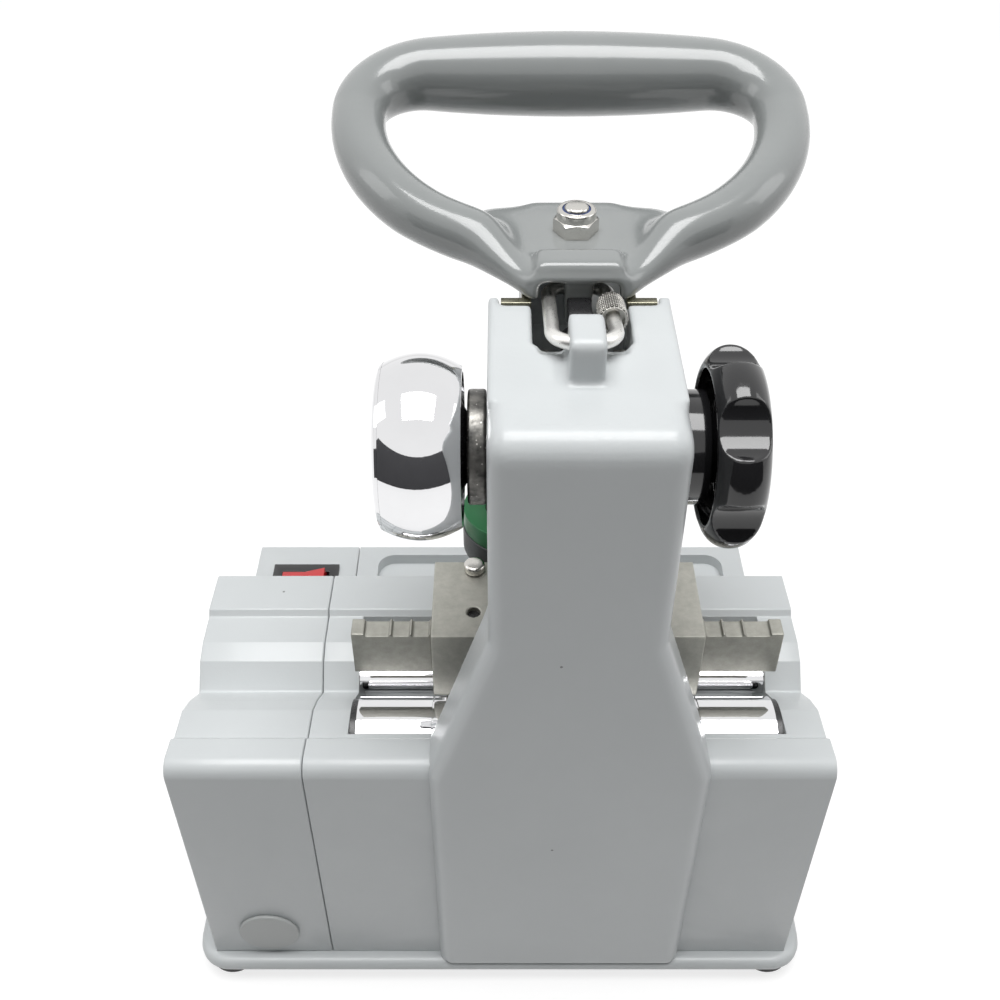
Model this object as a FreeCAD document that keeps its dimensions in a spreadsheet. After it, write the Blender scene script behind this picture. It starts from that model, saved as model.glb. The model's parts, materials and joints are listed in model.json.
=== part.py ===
import FreeCAD, Part
import math
import os
import re
import Sketcher

# Bench-top key duplicating machine. X runs across the machine, Y from its rear wall to the
# operator, Z up from the table. Heights and depths are worked out from the sizes below.
V = FreeCAD.Vector
doc = FreeCAD.newDocument("KeyMachine")

SIZES = {
    # Base plate and feet
    "foot_height": 8.0,
    "foot_radius": 12.0,
    "foot_taper": 2.0,
    "foot_inset": 13.5,
    "plate_thickness": 6.0,
    "plate_margin": 8.0,
    "plate_overhang": 6.0,
    "plate_corner": 14.0,
    "plate_round": 3.0,
    # Base housing and side cover
    "base_width": 240.0,
    "base_depth": 183.0,
    "housing_height": 126.8,
    "cover_width": 49.5,
    "cover_gap": 0.4,
    "wall": 5.0,
    "ledge_depth": 15.0,
    "ledge_drop": 2.0,
    "step_depth": 18.0,
    "step_drop": 5.5,
    "shoulder_depth": 32.0,
    "shoulder_drop": 6.8,
    "slope_depth": 42.0,
    "slope_drop": 12.8,
    "valley_depth": 53.0,
    "valley_drop": 21.8,
    "rise_depth": 62.0,
    "rise_drop": 13.3,
    "shelf_depth": 70.0,
    "shelf_drop": 10.8,
    "shelf_end_depth": 84.0,
    "lip_depth": 86.0,
    "lip_drop": 8.3,
    "plateau_depth": 107.0,
    "plateau_drop": 9.3,
    "deck_drop": 64.0,
    "cavity_drop": 45.5,
    "basin_floor_thickness": 4.0,
    "rear_round": 6.0,
    "edge_round": 1.2,
    "cheek": 14.25,
    "window_rear": 20.0,
    "window_front": 84.0,
    "trough_width": 98.0,
    "tray_width": 170.0,
    "tray_rear": 122.0,
    "tray_front_margin": 6.4,
    "tray_depth": 6.0,
    "tray_corner": 8.0,
    # Rods across the base
    "shaft_radius": 17.0,
    "shaft_depth": 30.0,
    "shaft_drop": 22.8,
    "shaft_seat": 11.0,
    "shaft_groove": 0.6,
    "spigot_radius": 10.0,
    "bush_wall": 2.5,
    "bush_flange": 2.5,
    "bush_flange_radius": 16.0,
    "guide_radius": 6.0,
    "guide_depth": 62.0,
    "guide_rise": -1.0,
    # Fits
    "fit": 0.05,
    "slip": 0.1,
    "clearance": 0.4,
    # Rear plug, switch, inlet and power supply in the side cover
    "plug_radius": 12.25,
    "plug_stem_radius": 10.0,
    "plug_cap": 1.6,
    "plug_height": 17.0,
    "switch_length": 29.0,
    "switch_width": 22.0,
    "switch_front_margin": 16.0,
    "switch_body_depth": 24.0,
    "switch_bezel": 1.5,
    "rocker_length": 21.0,
    "rocker_width": 14.0,
    "rocker_rise": 3.0,
    "rocker_depth": 7.0,
    "rocker_tilt": 8.0,
    "rocker_pin_radius": 1.5,
    "rocker_swing": 1.0,
    "inlet_length": 27.0,
    "inlet_height": 20.0,
    "inlet_front": 40.0,
    "inlet_rise": 12.0,
    "inlet_flange": 3.0,
    "inlet_body": 20.0,
    "inlet_socket": 14.0,
    "supply_width": 34.0,
    "supply_length": 76.0,
    "supply_height": 40.0,
    "supply_rear": 24.0,
    # Column
    "column_width": 100.0,
    "column_neck_width": 57.0,
    "column_taper": 69.0,
    "column_rise": 151.0,
    "column_flange": 6.0,
    "flare_depth": 15.0,
    "column_depth": 34.0,
    "column_reach": 64.5,
    "ear_reach": 4.5,
    "ear_drop": 26.0,
    "overhang_height": 86.5,
    "column_round": 6.0,
    "column_top_round": 9.0,
    "relief_width": 13.4,
    "relief_depth": 4.5,
    "relief_drop": 2.2,
    "lug_width": 10.4,
    "lug_rear": 20.8,
    "lug_depth": 18.2,
    "lug_height": 14.0,
    "lug_round": 4.0,
    "lug_hole_radius": 3.2,
    "lug_hole_depth": 32.0,
    "lug_hole_slot": 1.8,
    "lug_hole_rise": 6.5,
    "column_bolt_radius": 4.0,
    "column_bolt_head": 6.5,
    "column_bolt_head_height": 8.0,
    "column_bolt_spread": 70.0,
    "column_bolt_low": 30.0,
    "column_bolt_gap": 11.3,
    # Slideway, rack and pinion
    "slot_width": 30.0,
    "slot_rear": 41.9,
    "rail_width": 5.0,
    "rail_depth": 8.0,
    "ram_rise": 34.0,
    "rail_top_drop": 7.5,
    "pinion_teeth": 18.0,
    "pinion_module": 1.0,
    "pinion_width": 11.0,
    "pinion_drop": 32.5,
    "pinion_shaft_radius": 6.0,
    "tooth_addendum": 0.8,
    "tooth_dedendum": 1.1,
    "tooth_backlash": 0.3,
    "rack_depth": 6.0,
    "rack_half_length": 24.0,
    # Return spring
    "spring_radius": 5.0,
    "spring_wire": 1.5,
    "spring_turns": 13.0,
    "spring_height": 40.0,
    "spring_depth": 57.0,
    "spring_top_drop": 4.5,
    "spring_pin_radius": 3.0,
    "seat_width": 7.6,
    "seat_height": 4.5,
    # Feed knob and lock knob on the pinion shaft
    "knob_radius": 29.0,
    "knob_width": 26.0,
    "knob_crown": 4.0,
    "knob_rim": 2.0,
    "knob_web": 9.0,
    "knob_hub_radius": 21.0,
    "collar_radius": 17.9,
    "collar_width": 5.7,
    "hub_gap": 1.6,
    "lock_collar_width": 9.0,
    "lock_radius": 31.5,
    "lock_width": 16.0,
    "lock_lobes": 6.0,
    "lock_scallop": 12.0,
    "lock_scallop_bite": 5.6,
    "lock_crown": 6.2,
    "lock_turn": 132.0,
    "lock_hollow": 24.2,
    "lock_hollow_depth": 8.0,
    "lock_hub_radius": 11.0,
    # Sliding head
    "head_gap": 1.5,
    "head_left": 28.0,
    "head_right": 36.5,
    "head_depth": 52.0,
    "head_height": 58.0,
    "head_top_drop": 33.5,
    "post_width": 49.0,
    "post_depth": 48.0,
    "post_waist": 36.0,
    "wing_depth": 3.0,
    "post_channel_depth": 28.0,
    "post_channel_drop": 23.5,
    "head_travel": 12.0,
    "top_plate_thickness": 2.5,
    "top_plate_drop": 3.2,
    # Tools on the head
    "tool_spacing": 40.0,
    "tool_offset": 20.5,
    "nose_radius": 14.0,
    "nose_length": 16.0,
    "tracer_nose_radius": 10.0,
    "motor_radius": 14.5,
    "motor_seat": 44.0,
    "motor_proud": 4.0,
    "bearing_radius": 11.0,
    "bearing_height": 7.0,
    "spindle_radius": 5.0,
    "spindle_reach": 8.0,
    "collet_radius": 8.5,
    "collet_height": 14.0,
    "bit_radius": 1.5,
    "bit_grip": 8.0,
    "tip_clear": 0.5,
    "dial_radius": 19.5,
    "dial_height": 11.5,
    "dial_lift": 6.5,
    "green_ring_height": 8.5,
    # Handle
    "bolt_depth": 97.0,
    "web_thickness": 8.2,
    "web_width": 60.0,
    "web_front": 21.5,
    "web_bend_width": 84.0,
    "web_waist_width": 50.0,
    "web_waist": 10.0,
    "neck_width": 34.0,
    "neck_rear": 66.0,
    "neck_roof_width": 28.0,
    "neck_roof_rise": 4.0,
    "neck_roof_rear": 68.0,
    "neck_roof_depth": 12.0,
    "neck_channel_width": 25.0,
    "neck_channel_height": 6.0,
    "neck_round": 2.0,
    "handle_tilt": 12.0,
    "grip_offset": 85.0,
    "grip_radius": 15.0,
    "grip_half_length": 49.5,
    "tube_radius": 13.0,
    "arm_tube_radius": 9.7,
    "tail_reach": 25.6,
    "corner_radius": 25.5,
    "side_radius": 70.0,
    "side_sweep": 67.0,
    "stud_radius": 4.0,
    "stud_depth": 16.0,
    "nut_flats": 13.0,
    "nut_height": 6.0,
    "nut_insert_height": 2.0,
    "nut_insert_radius": 5.2,
    "stud_proud": 1.0,
    # Quick link
    "link_wire": 2.25,
    "link_half_width": 9.5,
    "link_length": 52.0,
    "link_angle": 12.3,
    "link_sleeve_radius": 4.6,
    "link_sleeve_length": 15.0,
    "link_sleeve_start": 19.0,
    "link_shift": 6.0,
    "hook_width": 9.0,
    "hook_length": 6.0,
    "hook_toe": 3.0,
    # Carriage
    "block_width": 100.0,
    "block_depth": 39.5,
    "block_height": 32.6,
    "block_rear_gap": 4.0,
    "saddle_width": 92.0,
    "saddle_wall": 3.0,
    "apron_width": 26.0,
    "arm_length": 29.5,
    "arm_thickness": 8.0,
    "arm_height": 20.6,
    "arm_drop": 3.0,
    "arm_setback": 4.0,
    "arm_notch_depth": 1.2,
    "arm_notch_near": 6.2,
    "arm_notch_mid": 6.6,
    "arm_notch_far": 9.2,
    "arm_notch_land": 0.9,
    "block_screw_spread": 69.0,
    "block_screw_radius": 4.0,
    "block_screw_head": 4.0,
    "block_screw_front": 5.0,
    "set_screw_radius": 2.5,
    "set_screw_hole": 6.0,
    "set_screw_front": 27.0,
    "carriage_travel": 20.0,
    # Key table, jaws and lever
    "cross_rod_radius": 4.0,
    "cross_rod_spread": 12.0,
    "cross_rod_front": 60.0,
    "cross_rod_seat": 6.0,
    "cross_rod_lift": 0.9,
    "table_gap": 6.5,
    "table_width": 56.0,
    "table_depth": 31.0,
    "table_thickness": 8.0,
    "table_rib_width": 22.0,
    "table_rib_over": 1.4,
    "jaw_width": 16.0,
    "jaw_height": 14.0,
    "jaw_thickness": 6.0,
    "jaw_gap": 8.0,
    "front_lug": 4.0,
    "clamp_radius": 3.0,
    "clamp_lift": 4.5,
    "clamp_bury": 4.0,
    "clamp_knob_radius": 7.0,
    "clamp_knob_length": 11.0,
    "clamp_knob_gap": 0.5,
    "lever_radius": 4.0,
    "lever_length": 38.0,
    "ball_radius": 10.0,
}

# Places that follow from the sizes. Depths are measured from the rear wall's outside face.
PLACES = {
    "core": "cover_width / 2",
    "seam": "cover_width - base_width / 2",
    "plate_top": "foot_height + plate_thickness",
    "rear_top": "plate_top + housing_height",
    "window_width": "base_width - 2 * core - 2 * cheek",
    "deck_top": "rear_top - deck_drop",
    "cavity_top": "rear_top - cavity_drop",
    "basin_floor": "cavity_top + basin_floor_thickness",
    "tray_floor": "deck_top - tray_depth",
    "deck_cavity_top": "tray_floor - wall",
    "shaft_z": "rear_top - shaft_drop",
    "guide_z": "shaft_z + guide_rise",
    "column_top": "rear_top + column_rise",
    "overhang_bottom": "column_top - overhang_height",
    "pinion_pitch": "pinion_teeth * pinion_module / 2",
    "pinion_y": "slot_rear + tooth_addendum + slip - pinion_pitch",
    "pinion_z": "column_top - pinion_drop",
    "block_rear": "column_depth + block_rear_gap",
    "block_front": "block_rear + block_depth",
    "block_bottom": "shaft_z + shaft_radius + clearance",
    "block_top": "block_bottom + block_height",
    "saddle_bottom": "guide_z - guide_radius - saddle_wall",
    "cross_rod_z": "block_bottom - cross_rod_lift",
    "table_rear": "block_front + table_gap",
    "table_front": "table_rear + table_depth",
    "rib_top": "cross_rod_z + cross_rod_radius + table_rib_over",
    "jaw_top": "rib_top",
    "jaw_floor": "jaw_top - jaw_height",
    "table_bottom": "jaw_floor - table_thickness",
    "tool_y": "block_front + tool_offset",
    "fixed_jaw_front": "tool_y - jaw_gap / 2",
    "moving_jaw_rear": "tool_y + jaw_gap / 2",
    "lug_front_y": "table_front - front_lug",
    "clamp_z": "jaw_floor + clamp_lift",
    "tip_z": "jaw_top + head_travel + tip_clear",
    "head_rear": "column_reach + head_gap",
    "head_top": "column_top - head_top_drop",
    "head_bottom": "head_top - head_height",
    "ram_bottom": "head_bottom",
    "ram_top": "ram_bottom + ram_rise",
    "nose_bottom": "head_bottom - nose_length",
    "plate_under": "column_top - top_plate_drop",
    "web_under": "plate_under + top_plate_thickness",
    "web_top": "web_under + web_thickness",
    "spring_top": "column_top - spring_top_drop",
    "spring_bottom": "spring_top - spring_height",
    "spring_pin_z": "spring_bottom - spring_pin_radius",
    "hole_z": "column_top + lug_hole_rise",
    "hook_y": "lug_hole_depth + link_length * cos(link_angle)",
    "hook_z": "hole_z - link_length * sin(link_angle)",
    "hook_front": "hook_y - link_wire - clearance - link_shift",
    "hook_rear": "hook_front - hook_length",
    "dial_bottom": "tip_z + dial_lift",
    "dial_top": "dial_bottom + dial_height",
    "switch_x": "seam - cover_width / 2",
    "switch_front": "base_depth - switch_front_margin",
    "switch_y": "switch_front - switch_width / 2",
    "grip_front": "bolt_depth + grip_offset * cos(handle_tilt) + grip_radius",
    "rear_y": "(plate_overhang - grip_front) / 2",
}

NAME = re.compile(r"[a-z_]+[a-z0-9_]*")


def formula(text):
    """Spell a line of size and place names as an expression on the sheet's cells."""
    def spell(match):
        word = match.group(0)
        if word in PLACES:
            return "(" + formula(PLACES[word]) + ")"
        return "Sizes." + word if word in SIZES else word
    return NAME.sub(spell, str(text))


def number(text):
    return float(sheet.evalExpression(formula(text)))


def bind(item, name, text):
    item.setExpression(name, formula(text))


def place(item, x, y, z):
    """Set an item at x and z, and at depth y from the rear wall."""
    bind(item, "Placement.Base.x", x)
    bind(item, "Placement.Base.y", "rear_y + (" + str(y) + ")")
    bind(item, "Placement.Base.z", z)


def block(x, y, z):
    """Box between two values on each axis."""
    item = doc.addObject("Part::Box", "block")
    for name, (low, high) in (("Length", x), ("Width", y), ("Height", z)):
        bind(item, name, f"({high}) - ({low})")
    place(item, x[0], y[0], z[0])
    return item


TURNS = {
    "X": FreeCAD.Rotation(V(0, 1, 0), 90),
    "Y": FreeCAD.Rotation(V(1, 0, 0), -90),
    "Z": FreeCAD.Rotation(),
}


def stand(item, axis, start, first, second):
    """Lay an upright item along an axis, from start, at its two other coordinates."""
    item.Placement = FreeCAD.Placement(V(), TURNS[axis])
    spots = {"X": (start, first, second), "Y": (first, start, second), "Z": (first, second, start)}
    place(item, *spots[axis])
    return item


def rod(axis, radius, span, first, second):
    """Round bar along an axis between two values."""
    item = doc.addObject("Part::Cylinder", "rod")
    bind(item, "Radius", radius)
    bind(item, "Height", f"({span[1]}) - ({span[0]})")
    return stand(item, axis, span[0], first, second)


def join(*items):
    item = doc.addObject("Part::MultiFuse", "join")
    item.Shapes = list(items)
    item.Refine = True
    return item


def cut(base, *tools):
    item = doc.addObject("Part::Cut", "cut")
    item.Base = base
    item.Tool = tools[0] if len(tools) == 1 else join(*tools)
    return item


def group(*items):
    item = doc.addObject("Part::Compound", "group")
    item.Links = list(items)
    return item


def tube(axis, outer, inner, span, first, second):
    return cut(rod(axis, outer, span, first, second), rod(axis, inner, span, first, second))


def round_edges(base, radius, wanted):
    """Fillet the edges of a solid that the test picks."""
    doc.recompute()
    item = doc.addObject("Part::Fillet", "rounded")
    item.Base = base
    size = number(radius)
    edges = base.Shape.Edges
    item.Edges = [(i + 1, size, size) for i, edge in enumerate(edges) if wanted(edge)]
    return item


def along(edge, axis):
    """True where a straight edge runs along an axis."""
    if not isinstance(edge.Curve, Part.Line):
        return False
    return abs(abs(edge.Curve.Direction.dot(axis)) - 1) < 1e-6


def at(edge, **spot):
    """True where the middle of an edge has the given coordinates."""
    middle = edge.CenterOfMass
    return all(abs(getattr(middle, axis) - value) < 0.01 for axis, value in spot.items())


def depth(text):
    return number("rear_y + (" + str(text) + ")")


def sketch_outline(body, role, points, offset):
    """Closed outline of straight runs on one of a body's own planes, every corner dimensioned."""
    plane = [item for item in body.Origin.OriginFeatures if item.Role == role][0]
    sketch = body.newObject("Sketcher::SketchObject", "outline")
    sketch.AttachmentSupport = [(plane, "")]
    sketch.MapMode = "FlatFace"
    bind(sketch, "AttachmentOffset.Base.z", offset)
    spots = [V(number(x), number(y), 0) for x, y in points]
    for i, spot in enumerate(spots):
        sketch.addGeometry(Part.LineSegment(spot, spots[(i + 1) % len(spots)]), False)
    for i in range(len(spots)):
        sketch.addConstraint(Sketcher.Constraint("Coincident", i, 2, (i + 1) % len(spots), 1))
    for i, (x, y) in enumerate(points):
        for kind, text, value in (("DistanceX", x, spots[i].x), ("DistanceY", y, spots[i].y)):
            index = sketch.addConstraint(Sketcher.Constraint(kind, -1, 1, i, 1, value))
            bind(sketch, f"Constraints[{index}]", text)
    return sketch


def padded(role, points, offset, length, reverse=False, shift="rear_y"):
    """Body made by padding an outline."""
    body = doc.addObject("PartDesign::Body", "body")
    bind(body, "Placement.Base.y", shift)
    sketch = sketch_outline(body, role, points, offset)
    pad = body.newObject("PartDesign::Pad", "pad")
    pad.Profile = sketch
    bind(pad, "Length", length)
    pad.Reversed = reverse
    return body


def lathe(points, axis, first, second, bulge=None):
    """Turned piece: half outline of (along, radius) corners, with an optional arc over the first run."""
    spots = [V(number(radius), 0, number(step)) for step, radius in points]
    edges = []
    for i, spot in enumerate(spots):
        after = spots[(i + 1) % len(spots)]
        if i == 0 and bulge is not None:
            middle = (spot + after) / 2
            middle.x = number(bulge)
            edges.append(Part.Arc(spot, middle, after).toShape())
        else:
            edges.append(Part.LineSegment(spot, after).toShape())
    face = Part.Face(Part.Wire(edges))
    item = doc.addObject("Part::Feature", "turned")
    item.Shape = face.revolve(V(), V(0, 0, 1), 360)
    return stand(item, axis, 0, first, second)


PIECES = {}


def piece(name, item):
    """Name a finished sub-part, which also names its file."""
    item.Label = name
    PIECES[name] = item
    return item


sheet = doc.addObject("Spreadsheet::Sheet", "Sizes")
for row, (alias, value) in enumerate(SIZES.items(), start=1):
    sheet.set(f"A{row}", alias)
    sheet.set(f"B{row}", str(value))
    sheet.setAlias(f"B{row}", alias)
doc.recompute()

X_AXIS, Y_AXIS, Z_AXIS = V(1, 0, 0), V(0, 1, 0), V(0, 0, 1)


# Base plate and feet
half_plate = "base_width / 2 + plate_margin"
plate = block(("-(" + half_plate + ")", half_plate), ("-plate_overhang", "base_depth + plate_overhang"),
              ("foot_height", "plate_top"))
plate = round_edges(plate, "plate_corner", lambda edge: along(edge, Z_AXIS))
plate = round_edges(plate, "plate_round", lambda edge: at(edge, z=number("plate_top")))
piece("base_plate", plate)

feet = []
for x in ("-(base_width / 2 + plate_margin - foot_inset)", "base_width / 2 + plate_margin - foot_inset"):
    for y in ("foot_inset - plate_overhang", "base_depth + plate_overhang - foot_inset"):
        foot = doc.addObject("Part::Cone", "foot")
        bind(foot, "Radius1", "foot_radius - foot_taper")
        bind(foot, "Radius2", "foot_radius")
        bind(foot, "Height", "foot_height")
        feet.append(stand(foot, "Z", "0", x, y))
piece("rubber_feet", group(*feet))


# Stepped side profile shared by the housing and the side cover, and the cavity inside it
STEPPED_PROFILE = [
    ("0", "plate_top"),
    ("0", "rear_top"),
    ("ledge_depth", "rear_top - ledge_drop"),
    ("step_depth", "rear_top - step_drop"),
    ("shoulder_depth", "rear_top - shoulder_drop"),
    ("slope_depth", "rear_top - slope_drop"),
    ("valley_depth", "rear_top - valley_drop"),
    ("rise_depth", "rear_top - rise_drop"),
    ("shelf_depth", "rear_top - shelf_drop"),
    ("shelf_end_depth", "rear_top - shelf_drop"),
    ("lip_depth", "rear_top - lip_drop"),
    ("plateau_depth", "rear_top - plateau_drop"),
    ("plateau_depth", "deck_top"),
    ("base_depth", "deck_top"),
    ("base_depth", "plate_top"),
]
CAVITY_PROFILE = [
    ("wall", "plate_top"),
    ("wall", "cavity_top"),
    ("plateau_depth - wall", "cavity_top"),
    ("plateau_depth - wall", "deck_cavity_top"),
    ("base_depth - wall", "deck_cavity_top"),
    ("base_depth - wall", "plate_top"),
]


def stepped_shell(left, right):
    """Casting of the stepped profile with its cross edges rounded."""
    solid = padded("YZ_Plane", STEPPED_PROFILE, left, f"({right}) - ({left})")
    top, bottom = number("rear_top"), number("plate_top")
    inner_corner = (depth("plateau_depth"), number("deck_top"))

    def is_soft(edge):
        middle = edge.CenterOfMass
        corner = abs(middle.y - inner_corner[0]) < 0.01 and abs(middle.z - inner_corner[1]) < 0.01
        return along(edge, X_AXIS) and bottom + 1 < middle.z < top - 0.01 and not corner

    solid = round_edges(solid, "rear_round", lambda edge: along(edge, X_AXIS) and at(edge, z=top))
    return round_edges(solid, "edge_round", is_soft)


HOUSING_LEFT = "seam + cover_gap / 2"
WINDOW = ("core - window_width / 2", "core + window_width / 2")
shell = stepped_shell(HOUSING_LEFT, "base_width / 2")
cavity = padded("YZ_Plane", CAVITY_PROFILE, WINDOW[0], "window_width")
above = "rear_top + wall"
tray = block(("core - tray_width / 2", "core + tray_width / 2"),
             ("tray_rear", "base_depth - tray_front_margin"),
             ("tray_floor", "deck_top + wall"))
tray = round_edges(tray, "tray_corner", lambda edge: along(edge, Z_AXIS))
SEATS = ("core - window_width / 2 - shaft_seat", "core + window_width / 2 + shaft_seat")
bolt_rows = ("plate_top + column_bolt_low", "cavity_top - column_bolt_gap")
bolt_spots = [(f"core + ({side}) * column_bolt_spread / 2", row) for side in (-1, 1) for row in bolt_rows]
wall_holes = [rod("Y", "column_bolt_radius + fit", ("-1", "wall + 1"), x, z) for x, z in bolt_spots]
housing = cut(
    shell, cavity,
    block(WINDOW, ("window_rear", "window_front"), ("basin_floor", above)),
    block(("core - trough_width / 2", "core + trough_width / 2"),
          ("window_front - 1", "plateau_depth + 1"),
          ("basin_floor", above)),
    tray,
    rod("X", "spigot_radius + fit + bush_wall", SEATS, "shaft_depth", "shaft_z"),
    rod("X", "shaft_radius + clearance", WINDOW, "shaft_depth", "shaft_z"),
    rod("X", "guide_radius + fit", SEATS, "guide_depth", "guide_z"),
    *wall_holes)
piece("base_housing", housing)

cover_right = "seam - cover_gap / 2"
cover_shell = stepped_shell("-base_width / 2", cover_right)
cover_cavity = padded("YZ_Plane", CAVITY_PROFILE, "wall - base_width / 2", "cover_width - wall")
plug_x, plug_z = "seam - cover_width / 2", "plate_top + plug_height"
switch_half = "switch_length / 2"
SWITCH_X = (f"switch_x - {switch_half}", f"switch_x + {switch_half}")
SWITCH_Y = ("switch_front - switch_width", "switch_front")
INLET_Y = ("base_depth - inlet_front - inlet_length", "base_depth - inlet_front")
INLET_Z = ("plate_top + inlet_rise", "plate_top + inlet_rise + inlet_height")
side_cover = cut(
    cover_shell, cover_cavity,
    rod("Y", "plug_stem_radius + fit", ("-1", "wall + 1"), plug_x, plug_z),
    block((f"{SWITCH_X[0]} - fit", f"{SWITCH_X[1]} + fit"),
          (f"{SWITCH_Y[0]} - fit", f"{SWITCH_Y[1]} + fit"),
          ("deck_cavity_top - 1", "deck_top + 1")),
    block(("-base_width / 2 - 1", "wall + 1 - base_width / 2"),
          (f"{INLET_Y[0]} - fit", f"{INLET_Y[1]} + fit"),
          (f"{INLET_Z[0]} - fit", f"{INLET_Z[1]} + fit")))
piece("side_cover", side_cover)

# Plug that closes the spare cable hole in the cover's rear wall
piece("hole_plug", join(rod("Y", "plug_radius", ("-plug_cap", "0"), plug_x, plug_z),
                        rod("Y", "plug_stem_radius", ("0", "wall"), plug_x, plug_z)))

# Rocker switch in the deck: black body with a red rocker on a pin across it
rocker_pin_z = "deck_top - rocker_depth / 2"
ROCKER_WELL_X = ("switch_x - rocker_length / 2 - rocker_swing",
                 "switch_x + rocker_length / 2 + rocker_swing")
ROCKER_WELL_Y = ("switch_y - rocker_width / 2 - clearance", "switch_y + rocker_width / 2 + clearance")
switch_case = join(
    block(SWITCH_X, SWITCH_Y, ("deck_top - switch_body_depth", "deck_top")),
    block((f"{SWITCH_X[0]} - switch_bezel", f"{SWITCH_X[1]} + switch_bezel"),
          (f"{SWITCH_Y[0]} - switch_bezel", f"{SWITCH_Y[1]} + switch_bezel"),
          ("deck_top", "deck_top + switch_bezel")))
piece("switch_body", cut(
    switch_case,
    block(ROCKER_WELL_X, ROCKER_WELL_Y, ("deck_top - 2 * rocker_depth", "deck_top + 2 * switch_bezel")),
    rod("Y", "rocker_pin_radius + fit", (f"{ROCKER_WELL_Y[0]} - 2", f"{ROCKER_WELL_Y[1]} + 2"),
        "switch_x", rocker_pin_z)))
rocker = padded("XZ_Plane", [("-rocker_length / 2", "-rocker_depth / 2"),
                             ("rocker_length / 2", "-rocker_depth / 2"),
                             ("rocker_length / 2", "rocker_depth / 2 + rocker_rise"),
                             ("0", "rocker_depth / 2 + rocker_rise / 2"),
                             ("-rocker_length / 2", "rocker_depth / 2 + rocker_rise")],
                "-rocker_width / 2", "rocker_width", False, "0")
rocker_pin = doc.addObject("Part::Cylinder", "rod")
bind(rocker_pin, "Radius", "rocker_pin_radius")
bind(rocker_pin, "Height", "rocker_width + 2 * clearance + 3")
rocker_pin.Placement.Rotation = TURNS["Y"]
bind(rocker_pin, "Placement.Base.y", "-(rocker_width + 2 * clearance + 3) / 2")
rocker_set = join(rocker, rocker_pin)
rocker_set.Placement.Rotation = FreeCAD.Rotation(Y_AXIS, number("-rocker_tilt"))
place(rocker_set, "switch_x", "switch_y", rocker_pin_z)
piece("switch_rocker", rocker_set)

# Mains inlet in the cover's left wall and the power supply on the base plate
outer = "-base_width / 2"
inlet = join(
    block((f"{outer} - inlet_flange", outer),
          (f"{INLET_Y[0]} - inlet_flange", f"{INLET_Y[1]} + inlet_flange"),
          (f"{INLET_Z[0]} - inlet_flange", f"{INLET_Z[1]} + inlet_flange")),
    block((outer, f"{outer} + inlet_body"), INLET_Y, INLET_Z))
piece("power_inlet", cut(inlet, block((f"{outer} - inlet_flange - 1", f"{outer} + inlet_socket"),
                                      (f"{INLET_Y[0]} + inlet_flange", f"{INLET_Y[1]} - inlet_flange"),
                                      (f"{INLET_Z[0]} + inlet_flange", f"{INLET_Z[1]} - inlet_flange"))))
piece("power_supply", block(("switch_x - supply_width / 2", "switch_x + supply_width / 2"),
                            ("supply_rear", "supply_rear + supply_length"),
                            ("plate_top", "plate_top + supply_height")))

# Chrome shaft in its two bushes, and the thin guide rod in front of it
groove_rings = [tube("X", "shaft_radius + 1", "shaft_radius - shaft_groove",
                     (f"core + ({side}) * block_width / 2 - shaft_groove / 2",
                      f"core + ({side}) * block_width / 2 + shaft_groove / 2"), "shaft_depth", "shaft_z")
                for side in (-1, 1)]
SHAFT_ENDS = (f"{WINDOW[0]} + bush_flange", f"{WINDOW[1]} - bush_flange")
shaft_bar = join(rod("X", "shaft_radius", SHAFT_ENDS, "shaft_depth", "shaft_z"),
                 rod("X", "spigot_radius", SEATS, "shaft_depth", "shaft_z"))
piece("rear_shaft", cut(shaft_bar, *groove_rings))
bushes = []
for sleeve, flange in (((SEATS[0], WINDOW[0]), (WINDOW[0], SHAFT_ENDS[0])),
                       ((WINDOW[1], SEATS[1]), (SHAFT_ENDS[1], WINDOW[1]))):
    bush = join(rod("X", "spigot_radius + fit + bush_wall", sleeve, "shaft_depth", "shaft_z"),
                rod("X", "bush_flange_radius", flange, "shaft_depth", "shaft_z"))
    bushes.append(cut(bush, rod("X", "spigot_radius + fit", SEATS, "shaft_depth", "shaft_z")))
piece("shaft_bushes", group(*bushes))
piece("guide_rod", rod("X", "guide_radius", SEATS, "guide_depth", "guide_z"))


# Column: tapered casting bolted against the rear wall, with an overhanging slideway and a top lug
half_column, half_neck = "column_width / 2", "column_neck_width / 2"
COLUMN_OUTLINE = [
    (f"core - {half_column}", "plate_top"),
    (f"core + {half_column}", "plate_top"),
    (f"core + {half_column}", "rear_top"),
    (f"core + {half_neck}", "rear_top + column_taper"),
    (f"core + {half_neck}", "column_top"),
    (f"core - {half_neck}", "column_top"),
    (f"core - {half_neck}", "rear_top + column_taper"),
    (f"core - {half_column}", "rear_top"),
]
stem = padded("XZ_Plane", COLUMN_OUTLINE, "column_flange", "flare_depth + column_flange", True)
doc.recompute()
if stem.Shape.BoundBox.YMax < depth("1"):
    raise RuntimeError("the column was padded the wrong way")
rear_face = depth("-column_flange")
stem = round_edges(stem, "column_top_round", lambda edge: at(edge, y=rear_face, z=number("column_top")))
stem = round_edges(stem, "column_round", lambda edge: abs(edge.CenterOfMass.y - rear_face) < 0.01
                   and edge.CenterOfMass.z > number("plate_top") + 1)
NECK_X = (f"core - {half_neck}", f"core + {half_neck}")
lug = block(("core - lug_width / 2", "core + lug_width / 2"), ("lug_rear", "lug_rear + lug_depth"),
            ("column_top - 1", "column_top + lug_height"))
lug_peak = number("column_top + lug_height")
lug = round_edges(lug, "lug_round", lambda edge: along(edge, X_AXIS) and at(edge, z=lug_peak))
flange_holes = [rod("Y", "column_bolt_radius", ("-column_flange + 1", "1"), x, z) for x, z in bolt_spots]
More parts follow.
